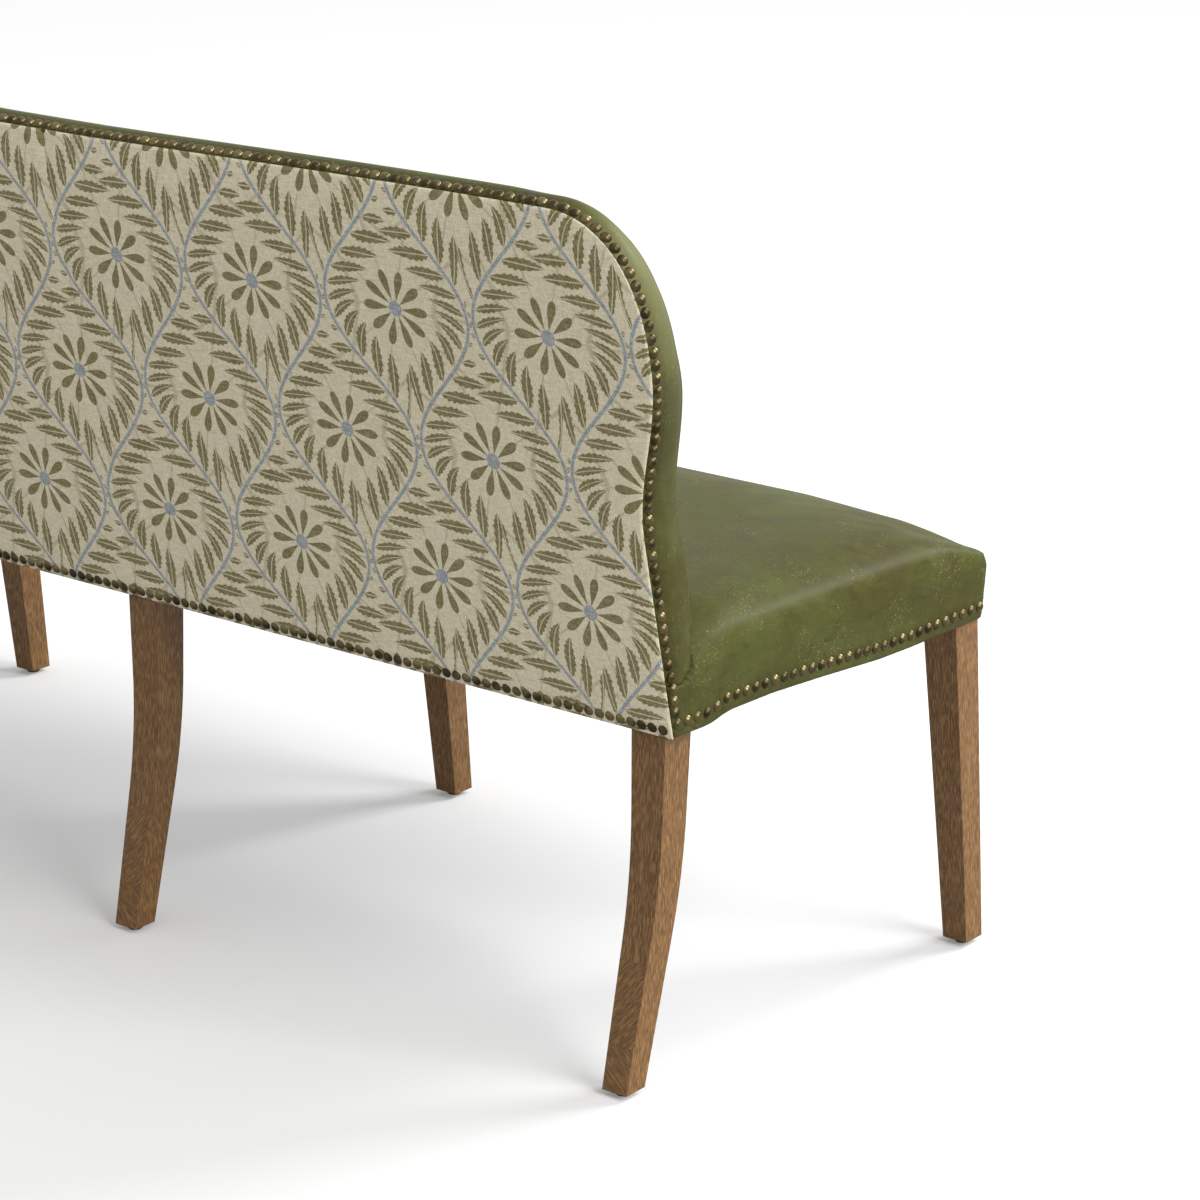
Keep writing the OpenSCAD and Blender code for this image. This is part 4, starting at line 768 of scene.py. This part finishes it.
def closed_loop(first_half, second_half):
    """One loop from two open halves that share their ends."""
    return np.r_[first_half[:-1], second_half[:-1]]


print("a ring of 8 with 2 rings has", len(ring_faces(2, 8)), "faces")

# %% [markdown]
# Blender's Cloth then blows the cushion up against its seams, as foam pushes leather out. It
# runs on a coarse copy, every few points of each ring, and the fine rings follow what that
# copy did. Only the push outward is kept, and it is capped, so the cushion keeps the size of
# its frame. Where a point is held, as under the nails, it moves less or not at all.

# %% Settle a cushion
STEPS, CLOSING, FADE_RINGS = 20, 3, 5


def settled(rings, held, skip, cap, pressure):
    """Rings after the stuffing has pushed them out, each point by at most cap millimetres."""
    coarse = rings[:-CLOSING, ::skip]
    shape = coarse.shape
    trial = new_piece("trial", coarse.reshape(-1, 3), ring_faces(shape[0], shape[1]),
                      leather_finish)
    group = trial.vertex_groups.new(name="held")
    held = held[:-CLOSING, ::skip]
    weights = held.ravel()
    for index in np.nonzero(weights > 0)[0]:
        group.add([int(index)], float(weights[index]), "REPLACE")
    stuffing = trial.modifiers.new("stuffing", "CLOTH")
    stuffing.settings.vertex_group_mass = "held"
    stuffing.settings.quality = 4
    stuffing.settings.mass = 0.3
    stuffing.settings.tension_stiffness = 25
    stuffing.settings.compression_stiffness = 25
    stuffing.settings.bending_stiffness = 3
    stuffing.settings.use_pressure = True
    stuffing.settings.uniform_pressure_force = pressure
    stuffing.settings.effector_weights.gravity = 0
    stuffing.point_cache.frame_end = STEPS
    for step in range(1, STEPS + 1):
        scene.frame_set(step)
    blown = trial.evaluated_get(bpy.context.evaluated_depsgraph_get()).data
    moved = np.array([v.co for v in blown.vertices]).reshape(shape) * 1000 - coarse
    outward = np.array([v.normal for v in trial.data.vertices]).reshape(shape)
    scene.frame_set(1)
    bpy.data.objects.remove(trial)
    pushed = np.maximum(0, (moved * outward).sum(2, keepdims=True))
    print("the stuffing pushed by up to", round(float(pushed.max()), 1), "mm, on average",
          round(float(pushed.mean()), 1), "mm")
    moved = outward * cap * np.tanh(pushed / cap) * (1 - held[:, :, None])
    # The push fades out over the last rings, and those that close on a line stay put
    moved *= np.clip(np.arange(shape[0])[::-1] / FADE_RINGS, 0, 1)[:, None, None]
    moved = np.concatenate([moved, np.zeros((CLOSING,) + shape[1:])])
    moved = np.concatenate([moved, moved[:, :1]], 1)
    place = np.arange(rings.shape[1]) / skip
    low = place.astype(int)
    share = (place - low)[None, :, None]
    return rings + moved[:, low] * (1 - share) + moved[:, low + 1] * share


# %% [markdown]
# Every nail presses the leather or the cloth under its head, and the soft stuff rises between
# one nail and the next. The places of the nails come from the CAD nodes, so the dimples are
# just where the nails are. A nail's mesh is in two loose parts, its dome and the flat face
# under it, and either tells where the nail is.

# %% Press the nails in
DENT, RIM, RIM_SOFT, FELT = 5.2, 9.5, 3.2, 16  # distances from a nail's middle, in mm


def nail_centres(*names):
    """The middle of each loose part of the nails in these nodes, in millimetres."""
    centres = []
    for name in names:
        mesh = nodes[name].data
        owner = list(range(len(mesh.vertices)))

        def top(i):
            while owner[i] != i:
                owner[i] = owner[owner[i]]
                i = owner[i]
            return i

        for edge in mesh.edges:
            a, b = top(edge.vertices[0]), top(edge.vertices[1])
            owner[a] = b
        groups = {}
        for i, vertex in enumerate(mesh.vertices):
            groups.setdefault(top(i), []).append(vertex.co)
        centres += [sum(group, Vector()) / len(group) * 1000 for group in groups.values()]
    return centres


def press(piece, centres, depth, puff):
    """Sink a piece under each nail, and let it rise a little round about."""
    tree = KDTree(len(centres))
    for index, centre in enumerate(centres):
        tree.insert(centre / 1000, index)
    tree.balance()
    mesh = piece.data
    points = np.array([v.co for v in mesh.vertices])
    normals = np.array([v.normal for v in mesh.vertices])
    distance = np.array([tree.find(p)[2] for p in points]) * 1000
    push = puff * np.exp(-(((distance - RIM) / RIM_SOFT) ** 2))
    push = push - depth * np.exp(-((distance / DENT) ** 2))
    mesh.vertices.foreach_set("co", (points + normals * push[:, None] / 1000).ravel())
    mesh.update()
    return int((distance < FELT).sum())


side_nails = nail_centres("nails_side_left", "nails_side_right", "nails_front")
edge_nails = nail_centres("nails_back_edge")
rear_nails = nail_centres("nails_rear_bottom")
print("nails on the seat, the back's edge and the linen's foot:",
      [len(parts) // 2 for parts in (side_nails, edge_nails, rear_nails)])

# %% [markdown]
# ## The back cushion
#
# The leather starts under the linen at the rear edge, turns over the edge as a band about
# 46 mm wide, and rolls over onto a softly crowned front. The band is widest just above the
# seat, is thinner at the top, and swells along the top where the wadding is rolled over the
# rail. At its foot the band's front corner is rounded where it tucks in beside the seat.

# %% Outline of the back
BACK_FOOT, TURN = 430.0, 1.4
PAD_FOOT = 441.4
BACK_CZ, BACK_HZ = (PAD_FOOT + BACK_HEIGHT) / 2, (BACK_HEIGHT - PAD_FOOT) / 2
FULL_Z = (BACK_FOOT + BACK_HEIGHT) / 2
side = np.array(back_side(BACK_FOOT))
split = int(np.argmin(np.abs(side[:, 1] - FULL_Z)))
left = side[::-1] * [-1, 1]
HALF = 640
shares = np.linspace(0, 1, HALF + 1)
outline = closed_loop(
    along(np.r_[side[split:], left[: len(side) - split]], shares),
    along(np.r_[left[len(side) - split - 1 :], side[: split + 1]], shares))
print("back outline:", len(outline), "points")

# %% [markdown]
# Each ring has two numbers: how far it is drawn in from the outline, and how far it stands
# before the rear surface. The first fourteen are the band, and the rest are the crown.

# %% Back cushion: its section
TAPER_AT = [0, 0.22, 0.45, 0.66, 0.85, 1]
TAPER = [1.08, 1.19, 1.08, 0.96, 0.9, 0.94]
FOOT_AT = [430, 431, 434, 439, 445, 458, 476, 490]
FOOT_DEPTH = [22, 27, 33, 39, 43, 47, 50, 95]
back_profile = [(18, TURN), (9, TURN), (2, TURN), (0.4, 2.0), (-0.5, 4.2), (-1.4, 8.5),
                (-2.3, 13.8), (-2.9, 18.5), (-3, 23), (-2.5, 28), (-1.5, 33.5), (0, 39),
                (1.4, 43), (3, 46)]
crown_at = [3, 5, 9, 15, 25, 36, 54, 74, 100, 130, 165, 200, 240]
crown_rise = [0, 0.3, 0.43, 0.57, 0.69, 0.78, 0.86, 0.92, 0.955, 0.98, 0.995, 1, 1]
for d in np.r_[4.5, 7, 10, 14, 19, 25, 32, 40, np.arange(50, 212, 12.5), 214, 225, 234.4]:
    rise = float(np.interp(d, crown_at, crown_rise))
    back_profile.append((d, BAND + (BACK_THICK - BAND) * rise))
print("back section:", len(back_profile), "rings, up to", back_profile[-1][1], "mm thick")

# %% Back cushion: its rings
CORNER_REACH, CORNER_SHIFT, SHIFT_END, EVEN_AT = 170, 2.5, 90, 200
rings = []
for d, t in back_profile:
    inward = FULL_Z + (outline[:, 1] - FULL_Z) * (1 - d / (BACK_HEIGHT - FULL_Z))
    over_band = min(1, max(0, (t - TURN) / (BAND - TURN)))
    swell = TOP_SWELL * math.sin(math.pi * over_band)
    z = inward + swell * (np.maximum(0, outline[:, 1] - BACK_CZ) / BACK_HZ) ** 2
    # Toward the front the top corners are rounder than they are behind
    to_corner = (
        np.clip((np.abs(outline[:, 0]) - BACK_HX + CORNER_REACH) / CORNER_REACH, 0, 1)
        * np.clip((outline[:, 1] - BACK_HEIGHT + CORNER_REACH) / CORNER_REACH, 0, 1))
    to_corner = 0.5 - 0.5 * np.cos(np.pi * np.minimum(1, 3 * to_corner))
    shift = CORNER_SHIFT * to_corner * over_band * max(0, 1 - d / SHIFT_END)
    z = z - shift
    taper = np.interp((z - PAD_FOOT) / (BACK_HEIGHT - PAD_FOOT), TAPER_AT, TAPER)
    depth = np.minimum(TURN + (t - TURN) * taper, np.interp(z, FOOT_AT, FOOT_DEPTH))
    # The flare of the sides dies away toward the middle, so that the rings close on a line
    inner = min(1, max(0, d) / EVEN_AT) ** 2
    even = 1 + (back_half(FULL_Z) / back_half(outline[:, 1]) - 1) * inner
    x = outline[:, 0] * (1 - d / BACK_HX) * even - np.sign(outline[:, 0]) * shift
    rings.append(np.stack([x, rear_y(z) - depth, z], 1))
rings = np.array(rings)
print("back cushion:", rings.shape[0], "rings of", rings.shape[1])

# %% Stuff the back cushion
SKIP, MOST_PUSH, PRESSURE = 4, 2.0, 3.0  # every fourth point; at most 2 mm outward
HELD_BAND, HELD_FOOT, FOOT_EASE = 12, 60, 35  # the nailed edge and the foot stay put
held = np.zeros(rings.shape[:2])
held[[t < HELD_BAND for d, t in back_profile]] = 1
held = np.maximum(held, np.clip((BACK_FOOT + HELD_FOOT - rings[:, :, 2]) / FOOT_EASE, 0, 1))
rings = settled(rings, held, SKIP, MOST_PUSH, PRESSURE)
back_cushion = new_piece("back_cushion", rings.reshape(-1, 3),
                         ring_faces(rings.shape[0], rings.shape[1]), leather_finish)
print("pressed at", press(back_cushion, edge_nails, depth=0.6, puff=0.8), "points")
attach(back_cushion, "root")
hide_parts("back_cover", "back_foam")

# %% [markdown]
# ## The seat cushion
#
# The seat is one tight cushion over the whole frame. Its leather comes down over the rails to
# a hem that isn't quite straight, and is nailed just above it. The top rolls over its edges
# in a wide soft curve, the front corners are folded into a short upright pleat, and at the
# rear the seat is squeezed under the foot of the back. Its outline has more points near the
# corners, where the folds are.

# %% Outline of the seat
FRONT_R, REAR_R = 12.0, 3.0
SEAT_CY, SEAT_HY = (SEAT_FRONT_Y + SEAT_REAR_Y) / 2, (SEAT_REAR_Y - SEAT_FRONT_Y) / 2


def seat_quarter(y_end, r):
    """From the middle of the right side round a corner to the middle of the front or rear."""
    way = 1 if y_end > SEAT_CY else -1
    bend = [(SEAT_HX - r + r * math.cos(a), y_end - way * r * (1 - math.sin(a)))
            for a in np.linspace(0, math.pi / 2, 13)]
    return [(SEAT_HX, SEAT_CY)] + bend + [(0, y_end)]


corner_share = SEAT_HY / (SEAT_HY + SEAT_HX)
fold_from, fold_to = corner_share - 0.052, corner_share + 0.022
quarter = np.r_[np.linspace(0, fold_from, 66, endpoint=False),
                np.linspace(fold_from, fold_to, 74, endpoint=False),
                np.linspace(fold_to, 1, 241)]
rear_right = along(seat_quarter(SEAT_REAR_Y, REAR_R), quarter)
front_right = along(seat_quarter(SEAT_FRONT_Y, FRONT_R), quarter)
mirror = np.array([-1, 1])
plan = closed_loop(np.r_[rear_right, rear_right[-2::-1] * mirror],
                   np.r_[front_right * mirror, front_right[-2::-1]])
print("seat outline:", len(plan), "points")

# %% [markdown]
# The seat's rings have three kinds. The hem turns under at the bottom, the wall goes up the
# side by shares of its height, and the top is drawn in millimetre by millimetre, with its rise
# as a share of the crown. The numbers after a kind are how far in and how high.

# %% Seat cushion: its section
seat_profile = [("hem", 9, 5), ("hem", 6, 1), ("hem", 2.4, -0.2), ("hem", 0.8, 0.2),
                ("hem", 0, 1.4)]
seat_profile += [("wall", 0, s) for s in (0.07, 0.11, 0.15, 0.19, 0.24, 0.3, 0.38, 0.47, 0.56,
                                          0.64, 0.67, 0.7, 0.73, 0.76, 0.8, 0.85, 0.92)]
seat_profile += [("top", d, r) for d, r in (
    (0.1, -0.43), (1.1, -0.22), (2.6, -0.03), (4.8, 0.12), (8, 0.24), (12, 0.35), (17, 0.45),
    (24, 0.565), (33, 0.665), (44, 0.75), (58, 0.82), (75, 0.875), (95, 0.92), (118, 0.95),
    (143, 0.97), (170, 0.985), (198, 0.995), (226, 1), (SEAT_HY - 14, 1), (SEAT_HY - 6, 1),
    (SEAT_HY - 1.5, 1))]
TOP_AT = np.array([d for kind, d, r in seat_profile if kind == "top"])
TOP_RISE = np.array([r for kind, d, r in seat_profile if kind == "top"])
print("seat section:", len(seat_profile), "rings,", len(TOP_AT), "of them on top")

# %% Seat cushion: how the leather gives
SOFT_END, CORNER_DROP = 80.0, 12.0
WALL_TOP, CROWN_FOOT = 449, 441.2
BLEND = 3.5  # how softly the crown's slopes from three edges run into each other
SINK_AT = np.arange(-60.0, 300.0)  # from the corner along the front edge
SINK = np.interp(SINK_AT, [0, 27, 64, 123, 213], [4, 10, 10, 6.5, 0])
SINK = np.convolve(np.pad(SINK, 20, "edge"), np.hanning(43)[1:-1] / 21, "valid")
SINK_END, STRAIGHT_AT = 180, 200
DIP, DIP_FROM, DIP_LONG, DIP_WIDE = 15, 105, 68, 50
TUCK, TUCK_WIDE, PUFF, PUFF_WIDE = 9, 40, 2.2, 30
print("the front edge sinks by up to", round(float(SINK.max()), 1), "mm")

# %% Seat cushion: its rings
rings = []
for kind, d, r in seat_profile:
    edge = hem(plan[:, 1])
    if kind == "hem":
        z = edge + r
    elif kind == "wall":
        z = edge + (WALL_TOP - edge) * r
    else:
        # Three near edges count together, so that no hip runs in from the corners
        ins = np.stack([SEAT_HX - np.abs(plan[:, 0]) * (1 - d / SEAT_HX),
                        SEAT_HY + (plan[:, 1] - SEAT_CY) * (1 - d / SEAT_HY),
                        SEAT_HY - (plan[:, 1] - SEAT_CY) * (1 - d / SEAT_HY)])
        within = ((np.maximum(ins, 0.05) ** -BLEND).sum(0)) ** (-1 / BLEND)
        z = EDGE_Z + (SEAT_HEIGHT - EDGE_Z) * np.interp(within, TOP_AT, TOP_RISE)
    swell = seat_bulge(z)
    inward = np.where(plan[:, 1] > SEAT_CY, d, d - swell)
    y = SEAT_CY + (plan[:, 1] - SEAT_CY) * (1 - inward / SEAT_HY)
    half = seat_half(plan[:, 1] + (y - plan[:, 1]) * min(1, d / STRAIGHT_AT) ** 2)
    x = plan[:, 0] / SEAT_HX * half * (1 - (d - swell) / SEAT_HX)
    rear = np.maximum(0, y - SEAT_CY) / SEAT_HY
    near = (np.maximum(0, 1 - (SEAT_HX - abs(plan[:, 0])) / SOFT_END) ** 2
            * np.maximum(0, 1 - (plan[:, 1] - SEAT_FRONT_Y) / SOFT_END) ** 2
            * max(0, 1 - d / SOFT_END))
    crown = np.maximum(0, z - CROWN_FOOT)
    z_soft = z - 2 * CORNER_DROP * near * crown / (SEAT_HEIGHT - CROWN_FOOT)
    y = y + rear * (rear_y(np.minimum(z, CROWN_FOOT)) - SEAT_REAR_Y - TURN)
    # The front edge sinks slowly toward its corners
    from_corner = SEAT_HX - np.abs(plan[:, 0]) * (1 - d / SEAT_HX)
    sink = np.interp(from_corner, SINK_AT, SINK)
    fade = np.clip(1 - (y - SEAT_FRONT_Y) / SINK_END, 0, 1) ** 2
    z_soft = z_soft - sink * fade * np.clip((z - 432) / 30, 0, 1)
    # Beside the back the roll dips, and the leather is drawn in behind the band
    beside = np.clip((y - DIP_FROM) / DIP_LONG, 0, 1) ** 2 * math.exp(-((d / DIP_WIDE) ** 2))
    z_soft = z_soft - DIP * beside * np.clip((z - 405) / 50, 0, 1)
    band_front = rear_y(z_soft) - np.interp(z_soft, FOOT_AT, FOOT_DEPTH)
    tuck = (np.clip((y - band_front + 3.5) / 2.5, 0, 1) * np.clip((z_soft - 427) / 2.5, 0, 1)
            * max(0, 1 - d / TUCK_WIDE))
    puff = (np.exp(-(((y - band_front + 22) / 24) ** 2)) * np.clip((z - 400) / 25, 0, 1)
            * (d < PUFF_WIDE))
    x = x + np.sign(x) * (PUFF * puff - TUCK * tuck)
    rings.append(np.stack([x, y, z_soft], 1))
rings = np.array(rings)
print("seat cushion:", rings.shape[0], "rings of", rings.shape[1])

# %% Stuff the seat cushion
HELD_RINGS, HELD_REAR, REAR_EASE = 10, 110, 60  # the nailed hem, and what the back presses
held = np.zeros(rings.shape[:2])
held[:HELD_RINGS] = 1
held = np.maximum(held, np.clip((rings[:, :, 1] - HELD_REAR) / REAR_EASE, 0, 1))
rings = settled(rings, held, SKIP, MOST_PUSH, PRESSURE)
print("seat top after stuffing:", round(float(rings[:, :, 2].max()), 1), "mm up")

# %% [markdown]
# At each front corner the spare leather is folded under itself. What shows is a short upright
# line: the fold's edge stands a little proud on one side and is sunk on the other.

# %% Fold the front corners
DIAGONAL, LINE, LIP, LIP_AT = 0.7071, 2.6, 0.9, 3.2
PLAY = 2.2  # the leather's rear end stays this far before the linen
corner = np.array([SEAT_HX - FRONT_R * 0.29, SEAT_FRONT_Y + FRONT_R * 0.29])
for way in (1, -1):
    turned = (plan - corner * [way, 1]) @ np.array([way, 1]) * DIAGONAL
    near = np.linalg.norm(plan - corner * [way, 1], axis=1) < 30
    line = np.exp(-((turned / 1.3) ** 2)) * near
    lip = np.exp(-(((turned - LIP_AT) / 2.2) ** 2)) * near
    for k in range(len(rings)):
        z = rings[k, :, 2]
        height = np.clip((z - 388) / 22, 0, 1) * np.clip((459 - z) / 12, 0, 1)
        push = height * (LIP * lip - LINE * line)
        rings[k, :, 0] += way * DIAGONAL * push
        rings[k, :, 1] -= DIAGONAL * push
rings[:, :, 1] = np.minimum(rings[:, :, 1], rear_y(rings[:, :, 2]) - PLAY)
seat_cushion = new_piece("seat_cushion", rings.reshape(-1, 3),
                         ring_faces(rings.shape[0], rings.shape[1]), leather_finish)
print("pressed at", press(seat_cushion, side_nails, depth=1.4, puff=0.7), "points")
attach(seat_cushion, "root")
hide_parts("seat_cover", "seat_foam")

# %% [markdown]
# ## The linen on the rear
#
# Two widths of linen meet in a seam over the middle leg. They are pulled tight over a thin
# layer of wadding, their edges are turned under, and the bottom edge is held by its own row
# of nails. A patch of quads fits between the four sides of each half: the bottom edge, the
# outer edge, the top edge and the seam.

# %% Patch between four sides
FABRIC_FOOT, FABRIC_INSET, PATCH_MIDDLE = 373.0, 0.8, 640.0
outer = np.array(back_side(FABRIC_FOOT))
outer[:, 0] -= FABRIC_INSET * (outer[:, 1] < BACK_HEIGHT - 12)
outer[:, 1] -= FABRIC_INSET * (outer[:, 1] > BACK_HEIGHT - 100)
bend = int(np.argmin(np.abs(outer[:, 0] - outer[:, 1] - (BACK_HX - BACK_HEIGHT) - 6)))


def linen_patch(inset, columns, rows):
    """Points (x, z) of a grid over the right half, and each point's distance from the edge."""
    u, v = np.linspace(0, 1, columns), np.linspace(0, 1, rows)
    bottom = along([(0, FABRIC_FOOT), outer[0]], u)
    top = along(outer[bend:][::-1], u)
    seam = along([(0, FABRIC_FOOT), outer[-1]], v)
    edge = along(outer[: bend + 1], v)
    U, V = u[None, :, None], v[:, None, None]
    grid = ((1 - V) * bottom[None] + V * top[None] + (1 - U) * seam[:, None] + U * edge[:, None]
            - (1 - U) * (1 - V) * bottom[0] - U * (1 - V) * bottom[-1]
            - (1 - U) * V * top[0] - U * V * top[-1])
    closed = along(np.r_[[(0, FABRIC_FOOT)], outer], np.linspace(0, 1, 700))
    away = np.min(np.linalg.norm(grid[:, :, None] - closed[None, None], axis=3), axis=2)
    centre = np.array([0, PATCH_MIDDLE])
    return centre + (grid - centre) * (1 - inset), away


def patch_faces(columns, rows, flip):
    """Quads of a grid, turned over for the mirrored half."""
    faces = []
    for r in range(rows - 1):
        for c in range(columns - 1):
            a = r * columns + c
            quad = (a, a + columns, a + columns + 1, a + 1)
            faces.append(quad[::-1] if flip else quad)
    return faces


COLUMNS, ROWS = 190, 140
grid, away = linen_patch(0.0, COLUMNS, ROWS)
print("linen patch:", grid.shape, "furthest from the edge:", round(float(away.max())), "mm")

# %% Linen, left and right
LOFT, LOFT_WIDE, TIGHT, SEAM_DEEP, SEAM_WIDE = 2.6, 14, 0.6, 1.5, 5
for name, way in (("left", -1), ("right", 1)):
    flat = grid.reshape(-1, 2)
    rise = LOFT * (1 - np.exp(-away.ravel() / LOFT_WIDE)) - TIGHT
    seam_dip = SEAM_DEEP * np.exp(-((flat[:, 0] / SEAM_WIDE) ** 2))
    points = np.stack([way * flat[:, 0], rear_y(flat[:, 1]) + rise - seam_dip, flat[:, 1]], 1)
    linen_half = new_piece(f"rear_linen_{name}", points, patch_faces(COLUMNS, ROWS, way < 0),
                           linen_finish)
    press(linen_half, edge_nails, depth=0.5, puff=0.3)
    press(linen_half, rear_nails, depth=1.4, puff=0.5)
    turned_in = linen_half.modifiers.new("thickness", "SOLIDIFY")
    turned_in.thickness = 0.0012
    turned_in.offset = -1
    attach(linen_half, "root")
    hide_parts(f"rear_panel_{name}")
    print(linen_half.name, "is up")

# %% [markdown]
# Under the linen lies a thin layer of wadding. It takes the hardness off the frame, and shows
# only as a slight softness. It is one quilted sheet here, a little smaller than the linen.

# %% Wadding
PAD_COLUMNS, PAD_ROWS, SMALLER, UNDER_LINEN = 60, 44, 0.02, 2.6
small = linen_patch(SMALLER, PAD_COLUMNS, PAD_ROWS)[0]
for name, way in (("left", -1), ("right", 1)):
    flat = small.reshape(-1, 2)
    points = np.stack([way * flat[:, 0], rear_y(flat[:, 1]) - UNDER_LINEN, flat[:, 1]], 1)
    pad = new_piece(f"rear_wadding_{name}", points,
                    patch_faces(PAD_COLUMNS, PAD_ROWS, way < 0), wadding_finish)
    loft = pad.modifiers.new("loft", "SOLIDIFY")
    loft.thickness = 0.0022
    loft.offset = -1
    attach(pad, "root")
    if way < 0:
        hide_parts("rear_lining")
print("wadding lies under the linen")

# %% [markdown]
# ## The cloth under the seat
#
# Black spun-bonded cloth closes the seat from below. It is stapled to the rails and cut round
# the legs, and between the rails it hangs a few millimetres. A plane of small squares does
# for it: the squares inside each leg are left out, so no ragged cut shows.

# %% Dust cloth: its surface
LEG, LEG_TOP, LAP, SAG = 41.0, 45, 3, 5
low, high = (np.array(c) * 1000 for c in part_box("dust_cover"))
columns, rows = 241, 81
u, v = np.meshgrid(np.linspace(-1, 1, columns), np.linspace(0, 1, rows))
y = low[1] + (high[1] - low[1]) * v
inset = high[0] - float(seat_half(low[1]))
x = u * (seat_half(y) + inset)
z = low[2] + 0.3 - SAG * np.sin(np.pi * v) * np.abs(np.sin(np.pi * u))
print("dust cloth hangs to", round(float(z.min()), 1), "mm above the floor")

# %% Dust cloth: cut round the legs
legs = []
for name in OAK:
    top = np.array([w.co for w in nodes[name].data.vertices]) * 1000
    top = top[abs(top[:, 2] - low[2]) < LEG_TOP]
    legs.append((top.min(0) + top.max(0)) / 2)
faces = []
for r in range(rows - 1):
    for c in range(columns - 1):
        a = r * columns + c
        middle = np.array([x[r, c] + x[r + 1, c + 1], y[r, c] + y[r + 1, c + 1]]) / 2
        if all(np.abs(middle - leg[:2]).max() > LEG / 2 - LAP for leg in legs):
            faces.append((a, a + columns, a + columns + 1, a + 1))
dust_cloth = new_piece("dust_cloth", np.stack([x.ravel(), y.ravel(), z.ravel()], 1), faces,
                       dust_finish)
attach(dust_cloth, "root")
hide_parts("dust_cover")
print("dust cloth:", [round(float(v)) for v in high - low], "mm")
